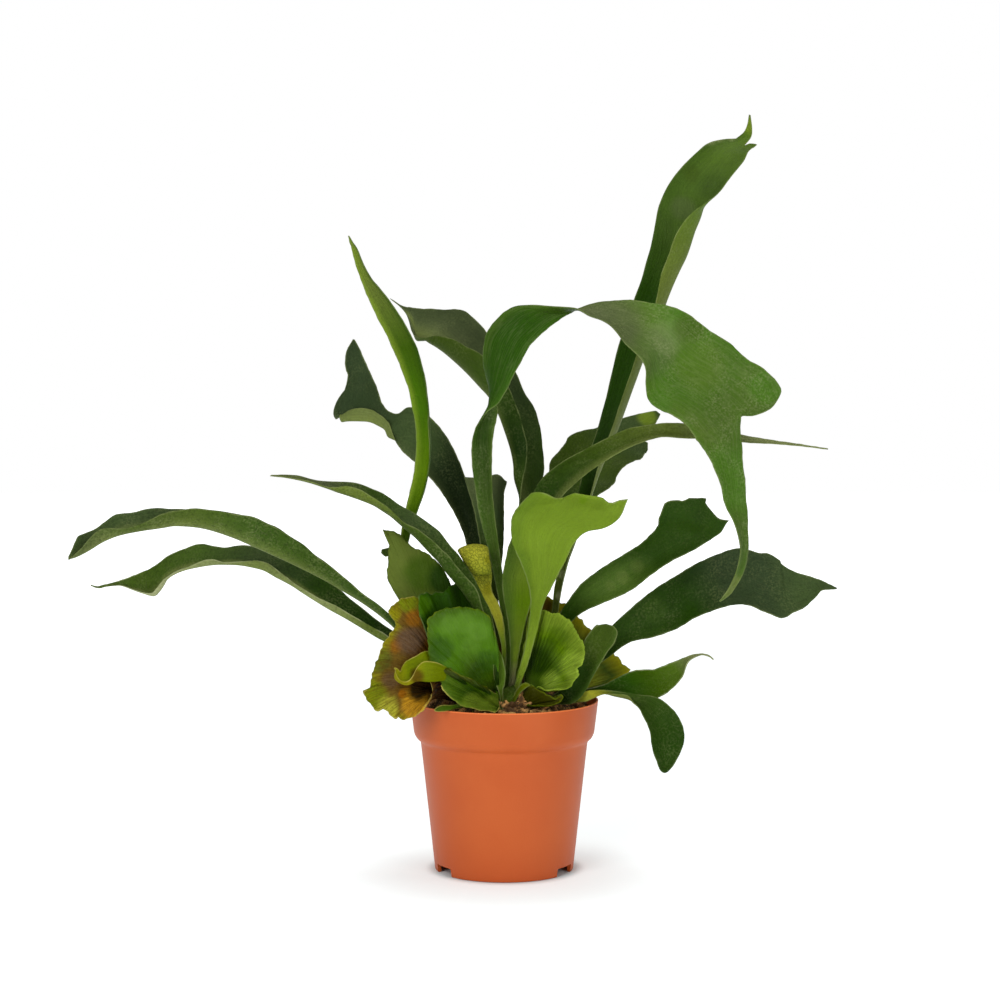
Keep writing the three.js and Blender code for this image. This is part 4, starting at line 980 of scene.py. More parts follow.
def paint(colour):
    """The base colour that looks like a colour of PAINT, or else is red, green and blue up to 255."""
    if not isinstance(colour, str):
        return (*linear(colour), 1.0)
    return (*[max(c - HAZE, 0) / STUDIO_LIGHT for c in linear(PAINT[colour])], 1.0)


class Nodes:
    """A material and short calls for the nodes that its finish is made of."""

    def __init__(self, name):
        self.material = bpy.data.materials.new(name)
        self.material.use_nodes = True
        self.tree = self.material.node_tree
        self.shader = self.tree.nodes["Principled BSDF"]
        self.place = self.add("TexCoord").outputs["Object"]

    def add(self, kind, inputs=None, **settings):
        node = self.tree.nodes.new("ShaderNode" + kind)
        for key, value in settings.items():
            setattr(node, key, value)
        for socket, value in (inputs or {}).items():
            self.feed(node.inputs[socket], value)
        return node

    def feed(self, socket, value):
        if isinstance(value, bpy.types.NodeSocket):
            self.tree.links.new(value, socket)
        else:
            socket.default_value = value

    def fact(self, name):
        """A value that the mesh holds for each of its points."""
        return self.add("Attribute", attribute_name=name).outputs["Fac"]

    def math(self, operation, a, b=0.0):
        return self.add("Math", {0: a, 1: b}, operation=operation).outputs[0]

    def plus(self, a, b):
        return self.math("ADD", a, b)

    def times(self, first, *others):
        for other in others:
            first = self.math("MULTIPLY", first, other)
        return first

    def level(self, value, low, high):
        """0 where the value is at low and 1 where it is at high, smooth between them."""
        inputs = {"Value": value, "From Min": low, "From Max": high}
        return self.add("MapRange", inputs, interpolation_type="SMOOTHSTEP").outputs["Result"]

    def swing(self, noise, size, middle=0.0):
        """A noise as a swing of this size about a middle."""
        return self.plus(self.times(self.math("SUBTRACT", noise, 0.5), size), middle)

    def pair(self, x, y):
        return self.add("CombineXYZ", {"X": x, "Y": y}).outputs[0]

    def distance(self, place, middle):
        return self.add("VectorMath", {0: place, 1: middle}, operation="DISTANCE").outputs["Value"]

    def noise(self, scale, detail=2.0, roughness=0.5, place=None):
        place = self.place if place is None else place
        inputs = {"Vector": place, "Scale": scale, "Detail": detail, "Roughness": roughness}
        return self.add("TexNoise", inputs).outputs["Fac"]

    def cloudy(self, scale, low, high):
        """Soft clouds from 0 to 1."""
        return self.level(self.noise(scale), low, high)

    def inside(self, place, scale):
        """How far inside its cell a point lies."""
        inputs = {"Vector": place, "Scale": scale}
        return self.add("TexVoronoi", inputs, feature="DISTANCE_TO_EDGE").outputs["Distance"]

    def seams(self, place, scale):
        """1 on the borders between cells, 0 further away than a seam is wide."""
        return self.level(self.inside(place, scale), SEAM_WIDTH, 0.0)

    def spot(self, centre, radius):
        """1 in the middle of a patch with a wandering border, 0 outside it. It reaches deeper than wide."""
        spread = (1, 1 / SPOT_DEPTH, 1)
        place = self.add("VectorMath", {0: self.place, 1: spread}, operation="MULTIPLY").outputs[0]
        away = self.distance(place, tuple(c * f for c, f in zip(centre, spread)))
        border = self.swing(self.noise(SPOT_NOISE / radius, detail=4), 2 * SPOT_WANDER * radius)
        return self.level(self.plus(away, border), radius, SPOT_CORE * radius)

    def mix(self, share, a, b):
        return self.add("Mix", {0: share, 6: a, 7: b}, data_type="RGBA").outputs[2]

    def wash(self, colour, wash_colour, *shares):
        """The colour under a wash of another one, as strong as the shares multiplied."""
        return self.mix(self.times(*shares), colour, paint(wash_colour))

    def tone(self, colour, brightness, *shares):
        """The colour made darker or brighter, as strongly as the shares multiplied."""
        toned = self.add("HueSaturation", {"Color": colour, "Value": brightness}).outputs[0]
        return self.mix(self.times(*shares), colour, toned)

    def ramp(self, value, colours):
        """Colours spread evenly from value 0 to value 1."""
        node = self.add("ValToRGB", {0: value})
        stops = node.color_ramp.elements
        while len(stops) < len(colours):
            stops.new(0.5)
        for i, colour in enumerate(colours):
            stops[i].position = i / (len(colours) - 1)
        for i, colour in enumerate(colours):
            stops[i].color = paint(colour)
        return node.outputs["Color"]

    def bump(self, height, distance, below=None):
        inputs = {"Height": height, "Distance": distance, "Strength": 1.0}
        if below is not None:
            inputs["Normal"] = below
        return self.add("Bump", inputs).outputs["Normal"]

    def finish(self, **inputs):
        """The material, with these inputs of its shader."""
        for socket, value in inputs.items():
            self.feed(self.shader.inputs[socket.replace("_", " ")], value)
        return self.material


# What a leaf looks like where its own entry doesn't say otherwise. upper, lower or both are the
# colours of its faces from base to tip (for a round leaf from heart to margin). near and far wash the
# side of the first and of the second edge, and keel the middle, each with a colour, its reach as a
# share of half the width, and its strength; these washes are partly the leaf's own colour and partly
# painted light and shade across the leaf. border is a colour with its width in millimetres and its
# strength, and line the thin margin with its strength. felt is how much down of the felt_colour lies on
# the upper and on the lower face. veins are lines that fan out along the leaf. mottle, streaks, dents
# (in millimetres) and pebbles say how uneven the leaf is, and roughness and shine how it takes the
# light. A patch has its middle in the picture with its depth, its radius in millimetres, its colour and
# its strength; some patches are the leaf's own colour and some are painted highlights, sheen and shade.
PLAIN_LOOKS = {
    "upper": "forest forest",
    "lower": "olive olive",
    "near": ("deep", 0.5, 0.0),
    "far": ("deep", 0.5, 0.0),
    "keel": ("sage", 0.3, 0.0),
    "border": ("grass", 4, 0.0),
    "felt": (0.15, 0.2),
    "felt_colour": "pale_sage",
    "veins": ("night", 0.08),
    "mottle": 0.3,
    "line": ("pale_sage", 0.4),
    "pebbles": 0.0,
    "dents": 0.0,
    "streaks": 1.0,
    "roughness": 0.5,
    "shine": 0.05,
    "patches": [],
}
LOOKS = {
    "frond_tall_right": {
        "upper": "deep olive olive deep deep bottle bottle leaf leaf grass",
        "lower": "sage sage sage sage olive olive grass pale_sage",
        "felt": (0.04, 0.25),
        "near": ("deep", 0.6, 0.35),
        "patches": [
            # The stone patch at (684, 206) is a painted grey sheen.
            (560, 596, 6, 4, "felt", 0.7), (562, 575, 6, 4, "felt", 0.5), (684, 206, 40, 11, "stone", 0.4),
            (692, 172, 48, 9, "moss", 0.5), (712, 187, 45, 12, "pine", 0.4),
            (710, 135, 60, 7, "pale_sage", 0.8), (722, 132, 60, 7, "pale_sage", 0.9),
            (734, 133, 62, 6.5, "pale_sage", 0.9), (750, 122, 66, 9, "lime", 0.7),
        ],
    },
    "frond_arching": {
        "upper": "grass grass leaf forest leaf olive emerald leaf",
        "lower": "moss moss leaf glade bottle bottle moss glade olive",
        "far": ("olive", 0.6, 0.2),
        "border": ("emerald", 6, 0.3),
        "felt": (0.2, 0.0),
        "mottle": 0.4,
        "felt_colour": "felt",
        "veins": ("felt", 0.06),
        "streaks": 0.35,
        "patches": [
            (612, 325, -40, 26, "stone", 0.8), (648, 352, -48, 24, "stone", 0.45),
            # The olive patch at (700, 365) is a painted sheen across the middle of the blade.
            (668, 335, -50, 16, "felt", 0.14), (700, 365, -55, 22, "olive", 0.2),
            (690, 328, -50, 13, "moss", 0.6), (768, 388, -56, 15, "emerald", 0.8),
            (660, 402, -62, 11, "emerald", 0.8), (728, 480, -75, 30, "emerald", 0.8),
            (741, 540, -79, 16, "leaf", 0.7), (731, 588, -83, 11, "sage", 0.7),
        ],
    },
    "frond_pale_left": {
        "upper": "olive glow pale_lime glade fresh vivid glade olive lime",
        "lower": "grass grass grass leaf olive olive sage",
        "near": ("lime", 0.5, 0.65),
        "far": ("bottle", 0.7, 0.6),
        "felt": (0.02, 0.1),
        "veins": ("night", 0.03),
    },
    "frond_forked_left": {
        "upper": "moss moss slate ink ink ink slate iron iron",
        "lower": "sage sage",
        "near": ("stone", 0.6, 0.3),
        "felt": (0.12, 0.2),
    },
    "frond_front": {
        "upper": "pale_sage pale_lime pale_lime apple apple apple apple apple",
        "lower": "olive lime lime",
        "near": ("grass", 0.5, 0.55),
        "felt": (0.06, 0.06),
        "veins": ("fresh", 0.06),
        "mottle": 0.2,
        "roughness": 0.55,
        "patches": [
            (614, 500, -72, 3.5, "felt", 0.7), (623, 497.5, -72, 3, "felt", 0.7),
            (583, 501, -70, 3.5, "fresh", 0.6), (520, 565, -42, 12, "grass", 0.35),
        ],
    },
    "frond_front_left": {
        "upper": "cream cream pale_lime apple fresh apple apple lime",
        "lower": "sage sage lime",
        "near": ("leaf", 1.2, 0.85),
        "felt": (0.06, 0.06),
        "mottle": 0.2,
    },
    "frond_back_dark": {
        "upper": "moss moss moss pine pine slate stone stone stone",
        "lower": "moss moss moss moss night pine moss moss stone",
        "far": ("ink", 0.7, 0.5),
        "keel": ("sage", 0.7, 0.7),
    },
    "frond_back_right": {
        "upper": "leaf leaf lime lime forest pine moss moss slate",
        "lower": "moss moss olive",
        "patches": [(648, 417, 92, 9, "lime", 0.85)],
    },
    "frond_narrow_right": {
        "upper": "lime fresh moss forest moss olive pale_sage pale_sage",
        "lower": "moss moss olive sage",
        "far": ("sage", 0.8, 0.75),
        "felt": (0.25, 0.3),
        "mottle": 0.6,
    },
    "frond_right_upper": {
        "upper": "night deep deep deep leaf leaf forest forest forest",
        "lower": "olive sage",
        "near": ("deep", 0.7, 0.55),
        "felt": (0.08, 0.3),
        "roughness": 0.4,
        "patches": [
            # These three sage patches are a painted highlight streaking along the leaf.
            (610, 585, -12, 5, "sage", 0.22), (622, 577, -12, 6, "sage", 0.25),
            (637, 566, -14, 6, "sage", 0.2), (698, 512, -24, 10, "ink", 0.4),
            (716, 522, -26, 6, "stone", 0.35),
        ],
    },
    "frond_right_lower": {
        "upper": "forest forest forest forest deep iron iron slate slate",
        "lower": "olive sage",
        "felt": (0.16, 0.3),
        "mottle": 0.6,
        "roughness": 0.42,
        "patches": [
            # The leaf patch at (655, 612) is a painted sheen.
            (655, 612, -12, 12, "leaf", 0.25), (690, 575, -16, 12, "night", 0.35),
            (782, 585, -26, 4, "sage", 0.35), (795, 585.5, -26, 5, "sage", 0.55),
            (808, 586, -27, 5, "pale_sage", 0.5), (823, 587, -27, 5, "pale_sage", 0.6),
        ],
    },
    "frond_short_dark": {
        "upper": "night night night forest forest moss moss moss",
        "lower": "olive sage",
        "far": ("leaf", 0.6, 0.5),
    },
    "frond_low_right": {
        "upper": "night night deep bottle glade grass pale_sage felt",
        "lower": "olive sage pale_sage",
        "line": ("felt", 0.6),
    },
    "frond_hanging_right": {"upper": "night lime gold leaf pine forest deep forest", "lower": "olive sage"},
    "frond_left_upper": {
        "upper": "glade moss deep deep slate slate slate slate",
        "lower": "vivid moss leaf moss leaf olive sage pale_sage",
        "near": ("forest", 0.9, 0.6),
        "keel": ("sage", 0.75, 0.85),
        "felt": (0.3, 0.35),
        "mottle": 0.9,
    },
    "frond_left_lower": {
        "upper": "night night deep forest slate leaf moss leaf",
        "lower": "moss olive olive pale_sage sage pale_sage felt felt",
        "keel": ("sage", 0.4, 0.8),
        "felt": (0.25, 0.4),
        "mottle": 0.8,
        "line": ("felt", 0.6),
    },
    "frond_left_middle": {
        "upper": "grass moss pine pine slate pine stone sage",
        "lower": "vivid moss pine pine moss olive olive sage",
        "keel": ("stone", 0.5, 0.5),
        "felt": (0.25, 0.3),
        "mottle": 0.8,
    },
    "frond_small_left": {"both": "glade leaf olive pine"},
    "frond_back_centre": {
        "upper": "vivid moss moss bronze pine pine slate stone",
        "lower": "moss slate",
        "far": ("ink", 0.7, 0.6),
    },
    "young_frond": {
        "upper": "glade glade lime gold gold fuzz gold gold",
        "lower": "moss fuzz fuzz gold pollen pollen gold fuzz",
        "felt": (0.1, 0.1),
        "felt_colour": "pollen",
        "veins": ("night", 0.0),
        "pebbles": 0.45,
        "mottle": 0.35,
        "roughness": 0.8,
        "patches": [(489, 560, -27, 4, "mustard", 0.6), (489, 590, -17, 5, "mustard", 0.6)],
    },
    "shield_curl": {
        "upper": "moss moss glade glade glade citrus citrus mustard",
        "lower": "moss moss bronze citrus citrus citrus mustard mustard",
        "felt": (0.0, 0.0),
        "line": ("straw", 0.6),
        "patches": [(417, 676, -62, 6, "umber", 0.8)],
    },
    "shield_upper_left": {
        "both": "moss grass olive olive",
        "felt": (0.05, 0.05),
        "veins": ("moss", 0.0),
        "mottle": 0.15,
        "line": ("olive", 0.4),
        # Painted light on its left (glade) and painted shade on its right (deep), under frond_left_middle.
        "patches": [(424, 575, -11, 17, "glade", 0.8), (442, 580, -11, 14, "deep", 0.95)],
    },
    "shield_drape_left": {
        "upper": "bark bark bark bark bark bark umber",
        "lower": "bark bark bark umber umber husk husk mustard",
        "felt": (0.05, 0.05),
        "veins": ("umber", 0.45),
        "mottle": 0.7,
        "dents": 1.2,
        "line": ("straw", 0.55),
        "patches": [
            (380, 660, -42, 10, "moss", 0.6), (373, 697, -50, 13, "citrus", 0.8),
            (388, 708, -54, 9, "gold", 0.75), (414, 705, -57, 12, "amber", 0.85),
            (409, 601, -33, 9, "citrus", 0.85), (394, 614, -36, 6, "mustard", 0.85),
            (414, 618, -34, 7, "rust", 0.6), (397, 645, -38, 6, "rust", 0.6),
            (410, 640, -36, 12, "ash", 0.9), (391, 680, -46, 7, "ash", 0.55),
            (402, 694, -50, 3.5, "rust", 0.8), (418, 690, -45, 8, "soot", 0.95),
        ],
    },
    "shield_front_left": {
        "upper": "bronze night night bronze",
        "lower": "bronze moss glade glade vivid vivid vivid glade",
        "felt": (0.0, 0.0),
        "veins": ("bright", 0.16),
        "dents": 2.2,
        "mottle": 0.15,
        "line": ("citrus", 0.5),
        "roughness": 0.33,
        "shine": 0.1,
        "patches": [
            # The bright patches are painted highlights, the bottle and deep ones painted shade.
            (449, 625, -48, 8, "bright", 0.4), (464, 622, -47, 9, "bright", 0.4),
            (479, 631, -44, 9, "bright", 0.4), (472, 645, -45, 8, "bright", 0.35),
            (442, 650, -49, 10, "bottle", 0.7), (436, 639, -49, 5, "bottle", 0.4),
            (488, 660, -38, 10, "bottle", 0.7), (480, 673, -42, 9, "deep", 0.6),
        ],
    },
    "shield_middle_left": {
        "both": "night night deep bottle",
        "felt": (0.0, 0.0),
        "roughness": 0.4,
        "patches": [(422, 606, -42, 8, "vivid", 0.7)],
    },
    "shield_front_right": {
        "both": "bronze moss glade glade grass fresh apple lime",
        "felt": (0.0, 0.0),
        "veins": ("glade", 0.35),
        "dents": 0.5,
        "line": ("pale_lime", 0.45),
        "roughness": 0.4,
        "patches": [
            # night and deep patches: painted shade in its hollow heart; glow patches: painted light where it
            # curls up.
            (536, 660, -20, 13, "night", 0.8), (546, 646, -24, 9, "deep", 0.5),
            (574, 666, -38, 12, "glow", 0.35), (550, 684, -38, 10, "glow", 0.45),
            (534, 620, -16, 8, "lime", 0.7), (557, 636, -30, 9, "glade", 0.5),
        ],
    },
    "shield_low_left": {
        "both": "grass glade deep glade grass",
        "felt": (0.0, 0.0),
        "veins": ("lime", 0.2),
        "dents": 1.2,
        "line": ("straw", 0.8),
        "roughness": 0.4,
        "patches": [
            (472, 705, -47, 9, "lime", 0.55), (490, 706, -40, 8, "lime", 0.6),
            (438, 680, -50, 3, "bark", 0.8),
        ],
    },
    "shield_low_right": {
        "upper": "bronze bronze",
        "lower": "umber moss",
        "line": ("citrus", 0.6),
    },
    "shield_back_right": {
        "both": "umber husk husk fuzz moss mustard",
        "felt": (0.0, 0.0),
        "veins": ("umber", 0.15),
        "patches": [(546, 605, 11, 6, "umber", 0.8), (562, 608, 12, 6, "mustard", 0.7)],
    },
    "shield_back_left": {"both": "umber moss grass"},
    "shield_back_middle": {"both": "bark umber umber glade mustard"},
    "crown_foot": {
        "upper": "glade moss",
        "lower": "moss leaf grass",
        "line": ("moss", 0.0),
    },
    "pale_sheath": {
        "upper": "bronze grass grass grass",
        "lower": "straw pale_sage olive grass grass",
        "near": ("pale_sage", 0.3, 0.4),
        "line": ("felt", 0.3),
    },
    "green_strip": {"upper": "glade citrus", "lower": "glade citrus lime"},
    "green_tip": {"both": "glade glade", "line": ("straw", 0.6)},
    "pale_tip": {"both": "olive sage"},
}

# How fine the grain of a leaf is: a scale, or else a scale, a detail and a roughness.
CLOUD_NOISE = (38, 3)
STREAK_NOISE = (1.6, 4, 0.6)
WRINKLE_NOISE = (120, 3)
MOTTLE_NOISE = (560, 3, 0.65)
WANDER_SCALE = 30
FELT_SCALE = 70
DENT_SCALE = 85
LINE_SCALE = 90
PEBBLE_SCALE = 470
DOWN_SCALE = 780

# Streaks run along the leaf: how much their noise is stretched across and along it.
STREAKS_ACROSS = 6.0
STREAKS_ALONG = 18.0

# Where cloud and streak together go from one level to another, the leaf gets darker, and then brighter:
# both levels, how strongly and how bright. The mottle only darkens it.
WEATHER = [(1.05, 0.75, 0.22, 0.55), (1.0, 1.3, 0.2, 1.5)]
MOTTLE_LEVELS = (0.55, 0.3)
MOTTLE_BRIGHTNESS = 0.6

# The veins are seams between long cells: how many across half of a long leaf, or all round a round
# one, and how many along a metre.
VEIN_CELLS = {"long": (13.0, 34.0), "round": (95.0, 38.0)}
VEIN_WANDER = 0.7

# The levels between which the down, the felt and the margin's line come in, how far the line reaches
# from the margin, and the shares of the length between which the pebbles start.
DOWN_LEVELS = (0.42, 0.68)
FELT_LEVELS = (0.3, 0.75)
LINE_LEVELS = (0.3, 0.6)
LINE_REACH = (0.9 * MM, 0.3 * MM)
PEBBLE_SHARES = (0.5, 0.65)

# How high the relief of a leaf stands.
VEIN_HEIGHT = 0.2
WRINKLE_HEIGHT = 0.7
RELIEF = 0.4 * MM
MOTTLE_RELIEF = 0.15 * MM
MOTTLE_EXTRA_RELIEF = 0.4 * MM
PEBBLE_RELIEF = -0.8 * MM
CLOUD_ROUGHNESS = 0.25


def leaf_faces(n, look, kind, share, across, margin):
    """The colours of the two faces with their washes, their border and their patches, with the painted light
    and shade that some washes and patches hold.
    """
    sides = [look.get("both", look[side]).split() for side in ("lower", "upper")]
    colour = n.mix(n.fact("upper"), *(n.ramp(share, side) for side in sides))
    if kind == "long":
        # The side washes and the keel wash below: partly the leaf's own colour, partly painted light and
        # shade across it.
        for side, key in ((-1, "near"), (1, "far")):
            wash_colour, reach, strength = look[key]
            wash = n.level(n.math("MULTIPLY", across, side), 1 - reach, 1)
            colour = n.wash(colour, wash_colour, wash, strength)
        keel_colour, reach, strength = look["keel"]
        colour = n.wash(colour, keel_colour, n.level(n.math("ABSOLUTE", across), reach, 0), strength)
    border_colour, width, strength = look["border"]
    colour = n.wash(colour, border_colour, n.level(margin, width * MM, 0.0), strength)
    # Patches: some the leaf's own colour, some painted highlights, sheen and shade.
    for *middle, radius, patch_colour, strength in look["patches"]:
        spot = n.spot(in_view(middle)[0], radius * MM)
        colour = n.wash(colour, patch_colour, spot, strength)
    return colour


def leaf_finish(name, looks, kind):
    look = {**PLAIN_LOOKS, **looks}
    n = Nodes(name)
    across, along, share, margin = (n.fact(f) for f in ("across", "along", "share", "margin"))
    colour = leaf_faces(n, look, kind, share, across, margin)

    cloud = n.noise(*CLOUD_NOISE)
    streak_place = n.pair(n.times(across, STREAKS_ACROSS), n.times(along, STREAKS_ALONG))
    streak = n.swing(n.noise(*STREAK_NOISE, place=streak_place), look["streaks"], 0.5)
    for low, high, strength, brightness in WEATHER:
        colour = n.tone(colour, brightness, n.level(n.plus(cloud, streak), low, high), strength)
    mottle = n.noise(*MOTTLE_NOISE)
    colour = n.tone(colour, MOTTLE_BRIGHTNESS, n.level(mottle, *MOTTLE_LEVELS), look["mottle"])

    wander = n.swing(n.noise(WANDER_SCALE), VEIN_WANDER)
    vein_at = [n.plus(n.times(f, cells), wander) for f, cells in zip((across, along), VEIN_CELLS[kind])]
    vein = n.seams(n.pair(*vein_at), 1.0)
    vein_colour, vein_strength = look["veins"]
    colour = n.wash(colour, vein_colour, vein, vein_strength)

    down = n.cloudy(DOWN_SCALE, *DOWN_LEVELS)
    felt_upper, felt_lower = look["felt"]
    felt = n.add("Mix", {0: n.fact("upper"), 2: felt_lower, 3: felt_upper}).outputs[0]
    colour = n.wash(colour, look["felt_colour"], down, n.cloudy(FELT_SCALE, *FELT_LEVELS), felt)
    line_colour, line_strength = look["line"]
    line = n.level(margin, *LINE_REACH)
    colour = n.wash(colour, line_colour, line, n.cloudy(LINE_SCALE, *LINE_LEVELS), line_strength)

    height = n.plus(n.times(vein, VEIN_HEIGHT), n.times(n.noise(*WRINKLE_NOISE), WRINKLE_HEIGHT))
    normal = n.bump(height, RELIEF)
    normal = n.bump(mottle, MOTTLE_RELIEF + MOTTLE_EXTRA_RELIEF * look["mottle"], normal)
    if look["dents"]:
        normal = n.bump(n.noise(DENT_SCALE), look["dents"] * MM, normal)
    if look["pebbles"]:
        gap = n.times(n.seams(n.place, PEBBLE_SCALE), n.level(share, *PEBBLE_SHARES))
        colour = n.wash(colour, "moss", gap, look["pebbles"])
        normal = n.bump(gap, PEBBLE_RELIEF * look["pebbles"], normal)
    roughness = n.swing(cloud, CLOUD_ROUGHNESS, look["roughness"])
    return n.finish(Base_Color=colour, Roughness=roughness, Normal=normal, Specular_IOR_Level=look["shine"])


# The pot's plastic: two cloudy colours, a darker foot and a painted highlight along its upper edge. A
# band is a colour, the two heights between which it comes in, and its strength.
POT_COLOURS = [(178, 79, 29), (182, 84, 33)]
POT_CLOUDS = (0.35, 0.7)
POT_CLOUD_NOISE = (22, 3)
POT_BANDS = [((171, 71, 24), 0.03, 0.0, 0.4), ((226, 118, 60), 0.1098, 0.1106, 0.8)]
POT_ROUGHNESS = 0.42
POT_CLOUD_ROUGHNESS = 0.1
POT_SHINE = 0.24
POT_GRAIN = 0.35
POT_GRAIN_NOISE = (900, 3)
POT_WAVE_SCALE = 30
POT_RELIEF = 0.18 * MM


def pot_finish():
    n = Nodes("pot_plastic")
    height = n.add("SeparateXYZ", {0: n.place}).outputs["Z"]
    cloud = n.noise(*POT_CLOUD_NOISE)
    colour = n.mix(n.level(cloud, *POT_CLOUDS), *map(paint, POT_COLOURS))
    # The second band is a painted highlight along the rim's top edge.
    for band_colour, start, full, strength in POT_BANDS:
        colour = n.wash(colour, band_colour, n.level(height, start, full), strength)
    roughness = n.plus(n.times(cloud, POT_CLOUD_ROUGHNESS), POT_ROUGHNESS)
    grain = n.plus(n.times(n.noise(*POT_GRAIN_NOISE), POT_GRAIN), n.noise(POT_WAVE_SCALE))
    normal = n.bump(grain, POT_RELIEF)
    return n.finish(Base_Color=colour, Roughness=roughness, Normal=normal, Specular_IOR_Level=POT_SHINE)


# The bark: chips of several colours with a lighter and a darker grain. A grain is a colour, the two
# levels between which it comes in, and its strength.
CHIP_COLOURS = ["umber", "umber", "tan", (204, 152, 88)]
CHIP_LEVELS = (0.28, 0.62)
CHIP_NOISE = (110, 3)
BARK_GRAINS = [((210, 168, 108), 0.55, 0.75, 0.6), ((28, 18, 12), 0.48, 0.3, 0.7)]
BARK_NOISE = (300, 4, 0.65)
BARK_RELIEF = 0.8 * MM
BARK_ROUGHNESS = 0.85


def bark_finish():
    n = Nodes("bark_soil")
    grain = n.noise(*BARK_NOISE)
    colour = n.ramp(n.level(n.noise(*CHIP_NOISE), *CHIP_LEVELS), CHIP_COLOURS)
    for grain_colour, start, full, strength in BARK_GRAINS:
        colour = n.wash(colour, grain_colour, n.level(grain, start, full), strength)
    return n.finish(Base_Color=colour, Roughness=BARK_ROUGHNESS, Normal=n.bump(grain, BARK_RELIEF))


# The rhizome: upright fibres under scales with dark seams.
FIBRE_COLOURS = ["umber", "husk", (160, 120, 70)]
FIBRE_LEVELS = (0.3, 0.7)
FIBRE_NOISE = (700, 3)
FIBRE_STRETCH = (1, 1, 0.25)
FIBRE_HEIGHT = 0.4
SCALE_SEAM_COLOUR = (30, 19, 12)
SCALE_SEAM_WIDTH = 0.12
SCALE_CELLS = 240
SCALE_RELIEF = 1.0 * MM
SCALE_ROUGHNESS = 0.9


def rhizome_finish():
    n = Nodes("rhizome_scales")
    fibre_place = n.add("Mapping", {"Vector": n.place, "Scale": FIBRE_STRETCH}).outputs[0]
    fibre = n.noise(*FIBRE_NOISE, place=fibre_place)
    colour = n.ramp(n.level(fibre, *FIBRE_LEVELS), FIBRE_COLOURS)
    inside = n.inside(n.place, SCALE_CELLS)
    colour = n.wash(colour, SCALE_SEAM_COLOUR, n.level(inside, SCALE_SEAM_WIDTH, 0.0))
    normal = n.bump(n.plus(inside, n.times(fibre, FIBRE_HEIGHT)), SCALE_RELIEF)
    return n.finish(Base_Color=colour, Roughness=SCALE_ROUGHNESS, Normal=normal)


def wear(piece, material, node):
    """The piece stands for the node, in this finish."""
    piece.data.materials.clear()
    piece.data.materials.append(material)
    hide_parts(node)
    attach(piece, "root")


# The pot: the turned profile with rounded corners, then the notches of its foot and its drain holes,
# in millimetres. A corner is its radius from the axis, its height and how far it is rounded.
POT_SEGMENTS = 192
POT_WALL = 1.2
POT_PROFILE = [
    (0, 7, 0), (42.9, 7, 0.6), (42.9, 0, 0.5), (45.2, 0, 0.7), (54.1, 80.5, 2.0), (54.6, 84.2, 1.2),
    (57.4, 86.6, 1.6), (58.8, 89.6, 1.6), (61.4, 110.9, 0.5), (60.2, 110.9, 0.5), (57.6, 90.0, 1.5),
    (53.2, 83.5, 1.5), (44.1, 8.2, 1.0), (0, 8.2, 0),
]
CORNER_STEPS = 4
CORNER_REACH = 0.45
POT_CREASE = 35
POT_AXIS = AXIS + np.array([-0.6, 0, 0]) * MM
NOTCH_ANGLES = [-150, -30, 90]
NOTCH_SIZE = (12, 18, 11)
NOTCH_DISTANCE = 44.9
NOTCH_ROUNDING = 1.2
DRAIN_RADIUS = 4
DRAIN_CIRCLE = 27
DRAIN_COUNT = 6
DRAIN_HEIGHT = 7.6


def at_turn(turn, radius, height):
    """A point at this turn round an upright axis."""
    return np.array([radius * math.cos(turn), radius * math.sin(turn), height])


def circle(count, radius, height):
    """Points all round, in millimetres."""
    return [at_turn(2 * math.pi * k / count, radius, height) for k in range(count)]


def rounded(profile):
    """The profile with each corner cut to a small curve of its own radius."""
    points = []
    for i, (r, z, radius) in enumerate(profile):
        corner = np.array([r, z], float)
        if radius == 0:
            points.append(corner)
            continue
        ends = []
        for neighbour in (profile[i - 1], profile[i + 1]):
            away = np.array(neighbour[:2], float) - corner
            reach = np.linalg.norm(away)
            ends.append(corner + away / reach * min(radius, CORNER_REACH * reach))
        for t in np.linspace(0, 1, CORNER_STEPS + 1):
            points.append((1 - t) ** 2 * ends[0] + 2 * t * (1 - t) * corner + t**2 * ends[1])
    return points


def turned_pot():
    points, rings = [], []
    for r, z in rounded(POT_PROFILE):
        start = len(points)
        if r == 0:
            points.append(POT_AXIS + [0, 0, z * MM])
            rings.append([start] * POT_SEGMENTS)
        else:
            points += [POT_AXIS + point * MM for point in circle(POT_SEGMENTS, r, z)]
            rings.append(list(range(start, start + POT_SEGMENTS)))
    faces = []
    for low, high in zip(rings, rings[1:]):
        for k in range(POT_SEGMENTS):
            following = (k + 1) % POT_SEGMENTS
            faces.append(list(dict.fromkeys([low[k], low[following], high[following], high[k]])))
    return piece_of("nursery_pot", points, faces)


def pot_piece():
    """The turned pot, cut by its notches and drain holes."""
    pot = turned_pot()
    cutters = [notch_cutter(angle) for angle in NOTCH_ANGLES]
    cutters += [drain_cutter(360 * i / DRAIN_COUNT) for i in range(DRAIN_COUNT)]
    for cutter in cutters:
        cut = pot.modifiers.new("cut", "BOOLEAN")
        cut.operation = "DIFFERENCE"
        cut.solver = "EXACT"
        cut.object = cutter
    shaped = bpy.data.meshes.new_from_object(pot.evaluated_get(bpy.context.evaluated_depsgraph_get()))
    pot.modifiers.clear()
    pot.data = shaped
    pot.data.shade_smooth()
    pot.data.set_sharp_from_angle(angle=math.radians(POT_CREASE))
    for cutter in cutters:
        bpy.data.objects.remove(cutter)
    return pot


